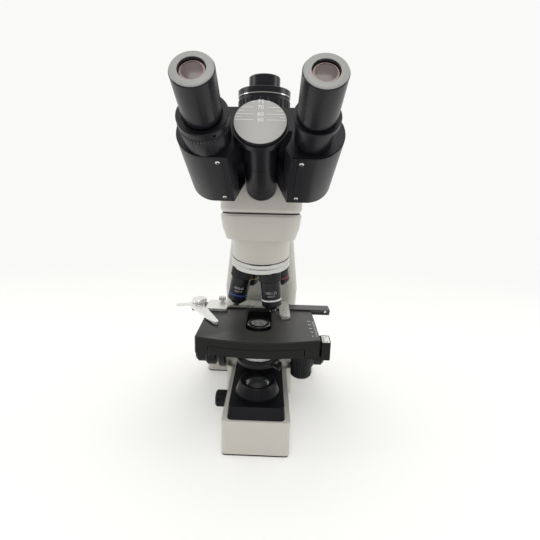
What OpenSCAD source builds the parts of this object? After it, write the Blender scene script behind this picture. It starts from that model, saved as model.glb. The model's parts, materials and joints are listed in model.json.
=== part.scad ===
// Trinocular compound microscope with a mechanical stage, a four-place turret
// and a swivelling binocular head. The origin is on the bench under the
// optical axis; the user sits on the -Y side. Millimetres and degrees.

/* [Base] */
// Width of the base's narrow nose
nose_w = 72; // [68:1:84]
// How far the nose reaches in front of the optical axis
nose_front = 40; // [38:1:60]
// Height of the nose's top edge above the bench
nose_top = 41; // [36:1:44]
// Height of the black cover's flat top above the bench
cover_top = 52; // [48:1:54]
// Width across the two rear feet
rear_foot_w = 163; // [140:1:190]
// Height of the rear feet's top above the bench
rear_foot_top = 34; // [24:1:38]
// Thickness of the base casting's walls
base_wall = 4; // [3:0.5:5]
// Height of the rubber feet
foot_h = 2; // [1.5:0.5:3]

/* [Stage] */
// Width of the stage
stage_w = 121; // [119:1:140]
// Height of the stage's top face above the bench
stage_top = 138; // [134:1:140]
// Thickness of the upper plate
plate_t = 7.5; // [7:0.1:9]
// Height of the upper plate with its skirt
skirt_h = 16.6; // [15:0.2:18]
// Width of the light opening in the stage
opening_w = 27; // [24:1:32]

/* [Turret] */
// Tilt of the turret's axis from the vertical
turret_tilt = 12.2; // [11:0.1:13]
// Turn of the turret from the nearest click stop
turret_turn = 28; // [0:1:45]
// Radius of the turret ring
turret_r = 31.4; // [31:0.1:33]
// Distance of the objective threads from the turret's axis
objective_circle_r = 21.1; // [20.5:0.1:21.5]
// Length of a high power objective from its shoulder to its tip
objective_l = 44.8; // [42:0.1:45.2]

/* [Arm] */
// Width of the arm at the height of the stage
arm_w = 94; // [90:1:104]
// Width of the arm's head at its top edge
arm_head_w = 79; // [77:1:88]
// Height of the arm's top face above the bench
arm_top = 253.5; // [250:0.5:258]

/* [Focus drive] */
// Radius of the coarse focus knobs
coarse_r = 23.4; // [20:0.1:25]
// Radius of the fine focus knobs
fine_r = 19.7; // [15:0.1:21]
// Distance across the two fine focus knobs
knob_span = 174; // [168:1:190]

/* [Binocular head] */
// Distance between the eye tubes as they stand now
eye_distance = 75; // [73:0.5:78]
// Outside radius of the eyepieces
eyepiece_r = 13.4; // [12.9:0.1:14]
// Length of an eyepiece's body
eyepiece_l = 35; // [28:0.5:42]
// Radius of the scale disc on the head's hinge
scale_disc_r = 18.9; // [17:0.1:19.5]

/* [Photo tube] */
// Radius of the photo tube's clamp ring
clamp_ring_r = 24.8; // [23:0.1:27]
// Radius of the dust cap
dust_cap_r = 14.7; // [13:0.1:15.5]

/* [Fits] */
// Radial clearance of a shaft in its bore
run_fit = 0.04; // [0.02:0.01:0.08]
// Gap between sliding faces
slide_gap = 0.3; // [0.3:0.05:0.4]

/* [Hidden] */
$fn = 48;

// Colours
paint_white = [0.80, 0.79, 0.76];
paint_black = [0.13, 0.13, 0.14];
satin_black = [0.22, 0.22, 0.23];
steel = [0.75, 0.75, 0.76];
light_grey = [0.70, 0.70, 0.68];
rubber_black = [0.08, 0.08, 0.08];
lens_tint = [0.65, 0.75, 0.80, 0.6];

// Base layout
base_floor = foot_h;
body_w = 88;
body_y = [76, 184];
rear_foot_y = [138, 186];
cover_inset = 5.5;
cover_w = nose_w - 2 * cover_inset;
cover_front = -nose_front + 2.5;
cover_back = 75;
cover_t = 2.5;
plate_sheet = 1.2;
screw_places = [[-22, -24], [22, -24], [-30, 120], [30, 120]];
inlet_w = 28;
inlet_h = 20;
inlet_z = 17;
switch_x = 32;
switch_w = 14;
switch_h = 20;
switch_pivot_r = 0.8;
// depth of the rocker's axis in front of the rear face
switch_pivot_d = 2;
dimmer_y = 22.5;
dimmer_z = 27.5;
dimmer_r = 9.8;
dimmer_bore_r = 3;

// Focus drive layout: the knob shaft lies along X
focus_y = 96;
focus_z = 60;
focus_module = 0.8;
focus_teeth = 15;
focus_pitch_r = focus_module * focus_teeth / 2;
coarse_shaft_r = 5;
fine_shaft_r = 2.5;
boss_x = 45.5;
boss_r = 18;
collar_x = [45.8, 55];
coarse_x = [59, 73];
fine_x = [73.5, knob_span / 2];
collar_r = 26.3;
collar_bore_r = 8;

// Arm layout
arm_front = 78;
guide_front = 70;
guide_w = 48;

// Stage layout
stage_front = -50;
stage_bow = 10;
stage_back = 54;
skirt_t = 3;
skirt_bottom = stage_top - skirt_h;
plate_bottom = stage_top - plate_t;
lower_top = plate_bottom - slide_gap;
lower_bottom = 121;
bracket_foot = 8.5;
foot_gap = 0.3;
notch_x = [-47.3, 45.3];
lower_x = [notch_x[0] + 0.8, notch_x[1] - 0.8];
channel_y = [33.6, 51.2];
channel_floor = plate_bottom + 2.3;
opening_front = -31;
opening_back = 31;

// Coaxial stage drive layout
drive_x = 51;
drive_y = 30;
drive_module = 0.7;
drive_teeth = 15;
drive_pitch_r = drive_module * drive_teeth / 2;
drive_inner_r = 2;
drive_outer_r = 4;
knob_r = 12.4;
y_pinion_z = [122.5, 128];
x_pinion_z = [channel_floor + 0.4, channel_floor + 3.2];
y_rack_x = drive_x - drive_pitch_r;
x_rack_y = drive_y + drive_pitch_r;
gear_play = 0.3;

// Slide holder layout
carriage_top = stage_top + 1.7;
bar_t = 2.4;
finger_pivot = [-73, 42];
holder_screw_places = [[-46, 47], [16, 47]];

// Condenser layout
condenser_bottom = 91.6;
carrier_z = [103, 110.5];
carrier_bore_r = 18.2;
condenser_knob_z = 98;
condenser_module = 0.6;
condenser_teeth = 14;
condenser_pitch_r = condenser_module * condenser_teeth / 2;
substage_guide_y = [50, 58];
condenser_shaft_y = substage_guide_y[1] - 0.3 + condenser_pitch_r;
iris_bore_r = 12;
filter_pin = [-13, 27];

// Turret layout: the objective in use stands upright on the optical axis
turret_z = 197.1;
turret_h = 10.4;
turret_cone = (turret_r - objective_circle_r) * tan(turret_tilt);
turret_y = objective_circle_r * cos(turret_tilt) - turret_cone * sin(turret_tilt);
nosepiece_r = turret_r - 0.9;
thread_r = 10.1;
pivot_r = 6;

// Head layout: the hinge of the two wings lies along the eye tubes' slope
eye_slope = 30;
disc_y = -105.5;
disc_z = 322.3;
wing_top_s = -9.3;
wing_l = 64.7;
wing_bottom_s = wing_top_s - wing_l;
wing_front_v = -22.7;
wing_back_v = 21;
cover_screw_l = 3.2;
cover_edge_u = -26.8;
cover_t2 = 1.2;
cover_s = [wing_bottom_s + 2, wing_top_s - 2];
cover_screw_u = -30;
cover_screw_s = [wing_top_s - 7, wing_bottom_s + 8];
knuckle_r = 13.8;
knuckle_split_s = -41.2;
hinge_r = 8;
hinge_end_s = -88.4;
tube_u = eye_distance / 2;
tube_v = -5.4;
wing_outer_r = 21.5;
wing_outer_u = tube_u + 23;
eyepiece_s = 13.5;
eyepiece_stem_r = 11.6;
tube_wall = 0.95;
left_bore_r = eyepiece_stem_r + run_fit + tube_wall + run_fit;
swivel_r = 24;
head_gap = 1.2;
head_bottom = arm_top + head_gap;
drum_top = 268;
head_top = 335;
photo_bore_r = 11.65;
rod_y = 8;
rod_z = 290;

// A rounded rectangle about the origin
module rounded(w, d, r) {
    square([w - 2 * r, d], center = true);
    square([w, d - 2 * r], center = true);
    for (sx = [-1, 1], sy = [-1, 1])
        translate([sx * (w / 2 - r), sy * (d / 2 - r)]) circle(r);
}

// A box with rounded upright edges between the limits of x, y and z
module block(x, y, z, r = 1) {
    translate([(x[0] + x[1]) / 2, (y[0] + y[1]) / 2, z[0]])
        linear_extrude(z[1] - z[0]) rounded(x[1] - x[0], y[1] - y[0], r);
}

// A square-edged box between the limits of x, y and z
module brick(x, y, z) {
    translate([x[0], y[0], z[0]]) cube([x[1] - x[0], y[1] - y[0], z[1] - z[0]]);
}

// A straight cylinder along X between two limits
module rod_x(x, r) {
    translate([x[0], 0, 0]) rotate([0, 90, 0]) cylinder(h = x[1] - x[0], r = r);
}

// A cylinder with a chamfer at each end
module turned(h, r, c = 0.8) {
    rotate_extrude()
        polygon([[0, 0], [r - c, 0], [r, c], [r, h - c], [r - c, h], [0, h]]);
}

// A ring with a chamfer at each outer edge
module ring(h, r, bore, c = 0.5) {
    rotate_extrude()
        polygon([[bore, 0], [r - c, 0], [r, c], [r, h - c], [r - c, h], [bore, h]]);
}

// A grip of count ridges, depth deep, round a cylinder
module ridged(h, r, count, depth) {
    linear_extrude(h) polygon([for (i = [0:4 * count - 1])
        (r - (i % 4 < 2 ? 0 : depth)) * [cos(i * 90 / count), sin(i * 90 / count)]]);
}

// Involute angle at radius r for base radius b
function involute(r, b) = r <= b ? 0 : tan(acos(b / r)) * 180 / PI - acos(b / r);

// Half the angle of a tooth at radius r
function tooth_half(r, m, n) = let(p = m * n / 2, b = p * cos(20))
    90 / n - gear_play / 2 / p * 180 / PI + involute(p, b) - involute(r, b);

// A spur gear, drawn flat, with a tooth on +X
module gear(m, n) {
    p = m * n / 2;
    radii = [p - 1.1 * m, p - 0.5 * m, p, p + 0.4 * m, p + 0.8 * m];
    polygon([for (k = [0:n - 1]) each concat(
        [for (r = radii)
            let(a = k * 360 / n - tooth_half(max(r, p * cos(20)), m, n)) r * [cos(a), sin(a)]],
        [for (i = [0:4]) let(r = radii[4 - i],
            a = k * 360 / n + tooth_half(max(r, p * cos(20)), m, n)) r * [cos(a), sin(a)]])]);
}

// A rack, drawn flat along X between two limits with its pitch line on Y = 0, its
// teeth towards +Y, a gap at X = 0 and its back at Y = -back
module rack(x, m, back) {
    pitch = PI * m;
    half = pitch / 4 - gear_play / 2;
    first = ceil(x[0] / pitch - 0.5) + 1;
    last = floor(x[1] / pitch - 0.5) - 1;
    polygon(concat([[x[0], -back], [x[0], -1.1 * m]],
        [for (k = [first:last]) let(c = (k + 0.5) * pitch) each [
            [c - half - 1.1 * m * tan(20), -1.1 * m], [c - half + 0.8 * m * tan(20), 0.8 * m],
            [c + half - 0.8 * m * tan(20), 0.8 * m], [c + half + 1.1 * m * tan(20), -1.1 * m]]],
        [[x[1], -1.1 * m], [x[1], -back]]));
}

// ---------------------------------------------------------------- base

// The outside of the base casting, grown by g
module base_outline(z, g = 0) {
    block([-nose_w / 2 - g, nose_w / 2 + g], [-nose_front - g, body_y[0] + 20], z, 4);
    block([-body_w / 2 - g, body_w / 2 + g], [body_y[0] - g, body_y[1] + g], z, 8);
}

module base_frame() {
    roof = nose_top - base_wall;
    color(paint_white) difference() {
        union() {
            base_outline([base_floor, nose_top]);
            block([-rear_foot_w / 2, rear_foot_w / 2], rear_foot_y,
                [base_floor, rear_foot_top], 9);
        }
        // hollow underside
        base_outline([base_floor - 1, roof], -base_wall);
        block([-rear_foot_w / 2 + base_wall, rear_foot_w / 2 - base_wall],
            [rear_foot_y[0] + base_wall, rear_foot_y[1] - base_wall],
            [base_floor - 1, rear_foot_top - base_wall], 5);
        // opening under the black cover
        block([-cover_w / 2 + 3, cover_w / 2 - 3], [cover_front + 3, cover_back - 6],
            [roof - 1, nose_top + 1], 3);
        // slot for the focus rack
        brick([-6, 6], [81, 92], [roof - 1, nose_top + 1]);
        // dimmer spindle, mains inlet and switch
        translate([0, dimmer_y, dimmer_z]) rod_x([-nose_w, 0], dimmer_bore_r);
        brick([-inlet_w / 2, inlet_w / 2], [rear_foot_y[1] - 10, rear_foot_y[1] + 1],
            [inlet_z - inlet_h / 2, inlet_z + inlet_h / 2]);
        brick([switch_x - switch_w / 2, switch_x + switch_w / 2],
            [rear_foot_y[1] - 10, rear_foot_y[1] + 1],
            [inlet_z - switch_h / 2, inlet_z + switch_h / 2]);
        // pivot holes of the switch
        translate([switch_x, rear_foot_y[1] - switch_pivot_d, inlet_z])
            rod_x([-switch_w / 2 - 1.4, switch_w / 2 + 1.4], switch_pivot_r + run_fit);
    }
}

module base_top_cover() {
    slope = cover_top - nose_top;
    color(paint_black) difference() {
        hull() {
            block([-cover_w / 2, cover_w / 2], [cover_front, cover_back],
                [nose_top, nose_top + 0.5], 5);
            block([-cover_w / 2 + 0.8, cover_w / 2 - 0.8],
                [cover_front + 0.62 * slope, cover_back], [cover_top - 0.5, cover_top], 4.4);
        }
        hull() {
            block([-cover_w / 2 + cover_t, cover_w / 2 - cover_t],
                [cover_front + cover_t, cover_back - cover_t], [nose_top - 1, nose_top], 1);
            block([-cover_w / 2 + cover_t + 0.8, cover_w / 2 - cover_t - 0.8],
                [cover_front + cover_t + 0.62 * slope, cover_back - cover_t],
                [cover_top - cover_t - 0.5, cover_top - cover_t], 1);
        }
        translate([0, 0, cover_top - cover_t - 2]) cylinder(h = cover_t + 4, r = 16);
    }
}

module base_bottom_plate() {
    color("gray") difference() {
        base_outline([base_floor, base_floor + plate_sheet], -base_wall - slide_gap);
        for (p = screw_places) translate([p[0], p[1], 0]) cylinder(h = 10, r = 1.7);
    }
}

module bottom_screws() {
    color(steel) for (p = screw_places) translate([p[0], p[1], base_floor]) {
        translate([0, 0, -0.9]) cylinder(h = 0.9, r = 3);
        cylinder(h = 6, r = 1.5);
    }
}

// Strips under the edge of the nose and under the ends of the two rear feet
module rubber_feet() {
    w = rear_foot_w / 2;
    color(rubber_black) {
        difference() {
            block([-nose_w / 2 + 0.6, nose_w / 2 - 0.6], [-nose_front + 0.6, 40], [0, foot_h], 3.6);
            block([-nose_w / 2 + base_wall, nose_w / 2 - base_wall],
                [-nose_front + base_wall, 50], [-1, foot_h + 1], 1);
        }
        difference() {
            block([-w + 0.6, w - 0.6], [rear_foot_y[0] + 0.6, rear_foot_y[1] - 0.6],
                [0, foot_h], 8.4);
            block([-w + base_wall, w - base_wall], [rear_foot_y[0] + base_wall,
                rear_foot_y[1] - base_wall], [-1, foot_h + 1], 5);
            brick([-w + 32, w - 32], [rear_foot_y[0] - 1, rear_foot_y[1] + 1], [-1, foot_h + 1]);
        }
    }
}

// The field lens mount: a plinth, then a cone
module collector_housing() {
    color(paint_black) rotate_extrude() polygon([
        [13.2, cover_top - 8], [15.8, cover_top - 8], [15.8, cover_top], [24.5, cover_top],
        [24.5, cover_top + 3.6], [23.8, cover_top + 5], [19.9, cover_top + 14.6],
        [19.1, cover_top + 15.2], [18.2, cover_top + 15.2], [14, cover_top + 12.4],
        [13.2, cover_top + 12.4]]);
}

module collector_lens() {
    color(lens_tint) translate([0, 0, cover_top + 7]) rotate_extrude() polygon(concat(
        [[0, 0], [13.1, 0], [13.1, 5]],
        [for (a = [20:-5:0]) [31 * sin(a), 31 * cos(a) - 31 * cos(25) + 5]]));
}

module lamp_module() {
    color("silver") {
        translate([0, 0, base_floor + 4]) {
            for (i = [0:4]) translate([0, 0, i * 4]) cylinder(h = 2, r = 18);
            cylinder(h = 20, r = 9);
        }
        translate([0, 0, base_floor + 24]) cylinder(h = 8, r = 6);
        brick([-24, 24], [-10, 10], [base_floor + plate_sheet, base_floor + 4.2]);
    }
}

// A three pin mains inlet in the back of the base
module power_inlet() {
    back = rear_foot_y[1];
    color(paint_black) {
        difference() {
            union() {
                brick([-inlet_w / 2 + 0.2, inlet_w / 2 - 0.2], [back - 24, back],
                    [inlet_z - inlet_h / 2 + 0.2, inlet_z + inlet_h / 2 - 0.2]);
                brick([-inlet_w / 2 - 2, inlet_w / 2 + 2], [back, back + 2],
                    [inlet_z - inlet_h / 2 - 1.8, inlet_z + inlet_h / 2 + 1.8]);
            }
            brick([-inlet_w / 2 + 2, inlet_w / 2 - 2], [back - 17, back + 3],
                [inlet_z - inlet_h / 2 + 2, inlet_z + inlet_h / 2 - 2]);
        }
        for (x = [-7, 0, 7]) brick([x - 1, x + 1], [back - 17.5, back - 3],
            [inlet_z - 2, inlet_z + 2]);
    }
}

// The rocker turns about an axis along X inside its bezel
module power_switch() {
    color(rubber_black)
        translate([switch_x, rear_foot_y[1] - switch_pivot_d, inlet_z]) {
            rotate([0, 90, 0]) translate([0, 0, -switch_w / 2 + 1])
                linear_extrude(switch_w - 2)
                    polygon([[-8.5, 1.5], [0, 3.2], [8.5, 1.5], [7.5, -4], [-7.5, -4]]);
            rod_x([-switch_w / 2 - 1, switch_w / 2 + 1], switch_pivot_r);
        }
}

module dimmer_knob() {
    color(paint_black) translate([0, dimmer_y, dimmer_z]) rotate([0, -90, 0]) {
        translate([0, 0, nose_w / 2 + 0.5]) {
            ridged(12.4, dimmer_r, 28, 0.5);
            translate([0, 0, 12.4]) cylinder(h = 1.6, r1 = dimmer_r - 0.5, r2 = dimmer_r - 2);
        }
        translate([0, 0, nose_w / 2 - 12]) cylinder(h = 13, r = dimmer_bore_r - run_fit);
    }
}

// ---------------------------------------------------------------- arm and focus

// One level of the arm for the hulls: width, y limits, height and corner radius
module arm_level(w, y, z, r) {
    block([-w / 2, w / 2], y, [z, z + 1], r, $fn = 32);
}

module arm() {
    color(paint_white) difference() {
        union() {
            hull() {
                arm_level(body_w - 3, [78.5, 178], nose_top, 16);
                arm_level(arm_w, [arm_front, 138], 150, 16);
            }
            hull() {
                arm_level(arm_w, [arm_front, 138], 150, 16);
                arm_level(arm_w - 18, [arm_front, 130], 196, 16);
                arm_level(arm_w - 20, [arm_front - 10, 122], arm_top - 19, 16);
            }
            // head of the arm, its top sloping down behind the binocular head's seat
            hull() {
                arm_level(arm_head_w - 10, [-24, 100], arm_top - 25.5, 16);
                arm_level(arm_head_w - 3, [-28, 70], arm_top - 14, 16);
                arm_level(arm_head_w, [-30, 46], arm_top - 3, 16);
                arm_level(arm_head_w - 1.6, [-29.2, 45], arm_top - 1, 16);
            }
            hull() {
                arm_level(arm_head_w - 10, [40, 119], arm_top - 25.5, 16);
                arm_level(arm_head_w - 10, [40, 112], arm_top - 17, 16);
            }
            translate([0, focus_y, focus_z]) {
                rod_x([-boss_x, boss_x], boss_r);
                rod_x([-collar_x[1] + 0.4, collar_x[1] - 0.4], collar_bore_r - run_fit);
            }
        }
        // room for the rack and pinion
        brick([-12, 12], [arm_front + 4, 112], [nose_top - 1, 128]);
        brick([-5.5, 5.5], [arm_front - 1, arm_front + 5], [64, 124]);
        translate([0, focus_y, focus_z]) rod_x([-60, 60], coarse_shaft_r + run_fit);
        // seat of the binocular head, and the light path below it
        translate([0, 0, arm_top - 8]) cylinder(h = 20, r = swivel_r + run_fit);
        translate([0, 0, arm_top - 40]) cylinder(h = 40, r = 13);
        // seat of the nosepiece
        turret_frame() translate([0, 0, turret_h + 2])
            cylinder(h = 26, r = nosepiece_r + 0.02);
    }
}

// Section of the dovetail between the stage bracket and its guide, grown by g
module dovetail(g) {
    polygon([[-11 - g, -1], [11 + g, -1], [11 + g, 0], [15 + g, 5.8 + g],
        [-15 - g, 5.8 + g], [-11 - g, 0]]);
}

module focus_guide() {
    color(satin_black) difference() {
        brick([-guide_w / 2, guide_w / 2], [guide_front, arm_front], [62, 134]);
        translate([0, guide_front, 60]) linear_extrude(80) dovetail(0.15);
        brick([-5.3, 5.3], [guide_front, arm_front + 1], [64, 124]);
    }
}

// Both coarse knobs, their hollow shaft and its pinion turn as one
module coarse_knobs() {
    color(satin_black) translate([0, focus_y, focus_z]) difference() {
        union() {
            for (s = [0, 1]) mirror([s, 0, 0]) translate([coarse_x[0], 0, 0])
                rotate([0, 90, 0]) {
                    translate([0, 0, 1]) ridged(11, coarse_r, 60, 0.5);
                    cylinder(h = 1.2, r1 = coarse_r - 1.6, r2 = coarse_r - 0.6);
                    translate([0, 0, 11.9])
                        cylinder(h = 2, r1 = coarse_r - 0.6, r2 = coarse_r - 2);
                }
            rod_x([-coarse_x[0] - 1, coarse_x[0] + 1], coarse_shaft_r);
            rotate([0, 90, 0]) translate([0, 0, -4]) linear_extrude(8)
                rotate([0, 0, -90]) gear(focus_module, focus_teeth);
        }
        rod_x([-knob_span, knob_span], fine_shaft_r + run_fit);
    }
}

module fine_knobs() {
    color(satin_black) translate([0, focus_y, focus_z]) {
        for (s = [0, 1]) mirror([s, 0, 0]) translate([fine_x[0], 0, 0]) rotate([0, 90, 0]) {
            ridged(fine_x[1] - fine_x[0] - 3, fine_r, 52, 0.45);
            translate([0, 0, fine_x[1] - fine_x[0] - 3])
                cylinder(h = 3, r1 = fine_r - 0.45, r2 = fine_r - 3);
        }
        rod_x([-fine_x[0] - 1, fine_x[0] + 1], fine_shaft_r);
    }
}

// The ring on the right that sets how stiffly the coarse drive turns, and its
// fixed twin on the left
module tension_collar() {
    color(paint_black) translate([0, focus_y, focus_z]) translate([collar_x[0], 0, 0])
        rotate([0, 90, 0]) difference() {
            union() {
                ridged(collar_x[1] - collar_x[0] - 1, collar_r, 40, 0.6);
                translate([0, 0, collar_x[1] - collar_x[0] - 1])
                    cylinder(h = 1, r1 = collar_r - 0.6, r2 = collar_r - 1.8);
            }
            translate([0, 0, -1]) cylinder(h = 20, r = collar_bore_r);
        }
}

// The fixed twin of the tension collar on the left
module stop_collar() {
    color(paint_black) translate([-collar_x[0], focus_y, focus_z]) rotate([0, -90, 0])
        ring(collar_x[1] - collar_x[0], collar_r, collar_bore_r, 1.2);
}

// ---------------------------------------------------------------- stage

// The stage's outline grown by g, with its bowed front edge
module stage_outline(g = 0) {
    steps = 12;
    w = stage_w / 2 + g;
    polygon(concat(
        [[w - 6, stage_back + g], [w, stage_back - 6], [w, stage_front + 3]],
        [for (i = [0:steps]) let(t = 1 - 2 * i / steps)
            [t * (w - 1.2), stage_front - g - stage_bow * cos(t * 90)]],
        [[-w, stage_front + 3], [-w, stage_back - 6], [-w + 6, stage_back + g]]));
}

// The light opening, grown by g: a half circle in front, rounded corners behind
module opening_outline(g = 0) {
    r = opening_w / 2 + g;
    corner = 6 + g;
    translate([0, opening_front + opening_w / 2]) circle(r);
    translate([-r, opening_front + opening_w / 2])
        square([2 * r, opening_back + g - corner - opening_front - opening_w / 2]);
    translate([-r + corner, opening_back + g - 2 * corner])
        square([2 * (r - corner), 2 * corner]);
    for (s = [-1, 1]) translate([s * (r - corner), opening_back + g - corner]) circle(corner);
}

// The bracket that carries the stage and the substage, sliding on the arm's guide
module stage_bracket() {
    color(satin_black) difference() {
        union() {
            translate([0, guide_front, 72]) linear_extrude(49) intersection() {
                dovetail(0);
                translate([-20, -0.3]) square([40, 6.1]);
            }
            block([-22, 22], [58, guide_front - slide_gap], [78, lower_bottom], 2);
            // shelf under the stage
            difference() {
                block([-40, 40], [-6, guide_front - slide_gap], [113, lower_bottom], 4);
                translate([0, 0, 112]) cylinder(h = 12, r = 29);
                block([-29, 29], [-30, 0], [112, lower_bottom + 1], 1);
            }
            // substage guide
            brick([-8, 8], [substage_guide_y[0], 60], [84, 114]);
            // web and focus rack
            brick([-3.5, 3.5], [75, 83], [84, 104]);
            translate([4, focus_y - focus_pitch_r, focus_z]) rotate([0, -90, 0])
                linear_extrude(8) rack([-17, 44], focus_module, 7.3);
        }
        // bore and pocket of the condenser drive
        translate([0, condenser_shaft_y, condenser_knob_z]) {
            rod_x([-30, 17], 2.5 + run_fit);
            rod_x([9, 16.6], condenser_pitch_r + 0.9);
        }
        brick([8.2, 16.6], [57, substage_guide_y[1] + 0.7], [77, 112.6]);
    }
}

module stage_lower_plate() {
    front = stage_front - stage_bow;
    color(satin_black) difference() {
        union() {
            block([lower_x[0], 43.7], [front + 6, 52], [lower_bottom, lower_top], 2);
            // front bar, seen in the notch of the skirt
            intersection() {
                translate([0, 0, 122]) linear_extrude(lower_top - 122)
                    stage_outline();
                block(lower_x, [front - 2, front + 14], [121, lower_top], 3);
            }
            // rack of the fore and aft drive
            translate([y_rack_x, drive_y, y_pinion_z[0] - 0.5]) rotate([0, 0, -90])
                linear_extrude(lower_top - y_pinion_z[0] + 0.5)
                    rack([-22, 23], drive_module, 2.6);
            // foot of the vernier bracket, below the skirt
            brick([30, stage_w / 2 + bracket_foot], [-48, -38], [117.6, 120.8]);
            brick([30, 43], [-48, -38], [117.6, lower_bottom + 1]);
        }
        translate([0, 0, 110]) cylinder(h = 30, r = 19.5);
        // end screws of the front bar
        for (x = [lower_x[0] + 3, lower_x[1] - 3])
            translate([x, front + 2, 126]) rotate([90, 0, 0]) cylinder(h = 6, r = 1.3);
    }
}

module stage_upper_plate() {
    color(paint_black) {
        difference() {
            union() {
                translate([0, 0, plate_bottom]) linear_extrude(plate_t - 1) stage_outline();
                translate([0, 0, stage_top - 1]) linear_extrude(0.5) stage_outline(-0.3);
                translate([0, 0, stage_top - 0.5]) linear_extrude(0.5) stage_outline(-0.8);
                translate([0, 0, skirt_bottom]) linear_extrude(skirt_h - plate_t + 0.1)
                    difference() {
                        stage_outline();
                        stage_outline(-skirt_t);
                        translate([-100, 20]) square([200, 60]);
                    }
                // sides of the skirt behind the front part
                for (s = [-1, 1]) mirror([s < 0 ? 1 : 0, 0, 0])
                    brick([stage_w / 2 - skirt_t, stage_w / 2], [19.9, stage_back - 8],
                        [skirt_bottom, plate_bottom + 0.1]);
                // hanging bearing of the two stage knobs
                brick([drive_x, stage_w / 2 - 1], [drive_y - 8, drive_y + 8],
                    [112, plate_bottom + 0.1]);
                translate([drive_x, drive_y, 95]) cylinder(h = 25.2, r = 6.8);
            }
            // notch for the lower plate
            brick(notch_x, [stage_front - stage_bow - 5, stage_front + 10],
                [skirt_bottom - 1, plate_bottom]);
            translate([0, 0, plate_bottom - 1]) linear_extrude(plate_t + 2) opening_outline();
            // lowered rim of the light opening
            translate([0, 0, stage_top - 1]) linear_extrude(2) opening_outline(1.6);
            // channel of the slide holder
            brick([-stage_w, stage_w], channel_y, [channel_floor, stage_top + 1]);
            // bores and pinion pockets of the stage drive
            translate([drive_x, drive_y, 0]) {
                translate([0, 0, 90]) cylinder(h = 34, r = drive_outer_r + run_fit);
                translate([0, 0, 120.2]) cylinder(h = plate_bottom - 120.2, r = 6.4);
                translate([0, 0, 120]) cylinder(h = 13.5, r = drive_inner_r + run_fit);
                translate([0, 0, channel_floor]) cylinder(h = x_pinion_z[1] + 0.3 -
                    channel_floor, r = 6.2);
            }
        }
    }
}

// A block beside the stage with a bright scale on its slanting top
module vernier_bracket() {
    side = stage_w / 2;
    color(steel) difference() {
        block([side + 0.7, side + 9.5], [-50, -36], [118, stage_top], 1.5);
        translate([side - 10, -36, stage_top]) rotate([10, 0, 0]) translate([0, -40, 0])
            cube([30, 45, 10]);
        brick([side - 0.5, side + bracket_foot + foot_gap], [-48 - foot_gap, -38 + foot_gap],
            [117, 121.2]);
    }
}

// The upper of the two coaxial knobs moves the stage fore and aft
module y_knob() {
    color(satin_black) translate([drive_x, drive_y, 0]) difference() {
        union() {
            translate([0, 0, 77.3]) ridged(15, knob_r, 36, 0.45);
            translate([0, 0, 92.2]) cylinder(h = 1, r1 = knob_r - 0.45, r2 = knob_r - 1.6);
            translate([0, 0, 90]) cylinder(h = y_pinion_z[1] - 90, r = drive_outer_r);
            translate([0, 0, y_pinion_z[0]]) linear_extrude(y_pinion_z[1] - y_pinion_z[0])
                rotate([0, 0, 180]) gear(drive_module, drive_teeth);
        }
        translate([0, 0, 70]) cylinder(h = 70, r = drive_inner_r + run_fit);
    }
}

// The lower of the two coaxial knobs moves the slide from side to side
module x_knob() {
    color(satin_black) translate([drive_x, drive_y, 0]) {
        translate([0, 0, 60]) ridged(17, knob_r, 36, 0.45);
        translate([0, 0, 58]) cylinder(h = 2.1, r1 = knob_r - 2.2, r2 = knob_r - 0.45);
        translate([0, 0, 76]) cylinder(h = x_pinion_z[1] - 76, r = drive_inner_r);
        translate([0, 0, x_pinion_z[0]]) linear_extrude(x_pinion_z[1] - x_pinion_z[0])
            rotate([0, 0, 90]) gear(drive_module, drive_teeth);
    }
}

// The dark bar that carries the slide holder along the channel
module holder_carriage() {
    y = [channel_y[0] + slide_gap, channel_y[1] - slide_gap];
    color(satin_black) difference() {
        union() {
            brick([-81, 82], [x_rack_y + 2, y[1]], [channel_floor + slide_gap, carriage_top]);
            brick([-81, 82], y, [x_pinion_z[1] + 0.7, carriage_top]);
            translate([drive_x, x_rack_y, channel_floor + slide_gap]) rotate([0, 0, 180])
                linear_extrude(x_pinion_z[1] - channel_floor)
                    rack([-31, 17], drive_module, 3);
        }
        for (p = holder_screw_places)
            translate([p[0], p[1], carriage_top - 4]) cylinder(h = 9, r = 1.5);
        translate([finger_pivot[0], finger_pivot[1], 130]) cylinder(h = 20, r = 2.04);
    }
}

// The bright holder plate with the fixed finger on its right
module holder_bar() {
    z = [carriage_top + 0.02, carriage_top + bar_t];
    color(steel) difference() {
        union() {
            translate([0, 0, z[0]]) linear_extrude(bar_t - 0.02) polygon([
                [-59, 54], [-35, 55], [31, 55], [34, 52], [34, 4], [31.5, 2], [26, 2],
                [22.5, 8], [22.5, 33], [19.5, 36], [-35, 36], [-38, 33], [-38, 23],
                [-40, 21], [-59, 21], [-62.6, 25], [-62.6, 50]]);
            // lips that reach down to the slide
            brick([24.5, 32], [3, 30], [stage_top + slide_gap, z[0] + 0.1]);
            brick([-56, -40], [22.5, 31], [stage_top + slide_gap, z[0] + 0.1]);
        }
        for (p = holder_screw_places)
            translate([p[0], p[1], z[0] - 1]) cylinder(h = 5, r = 1.7);
    }
}

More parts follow.
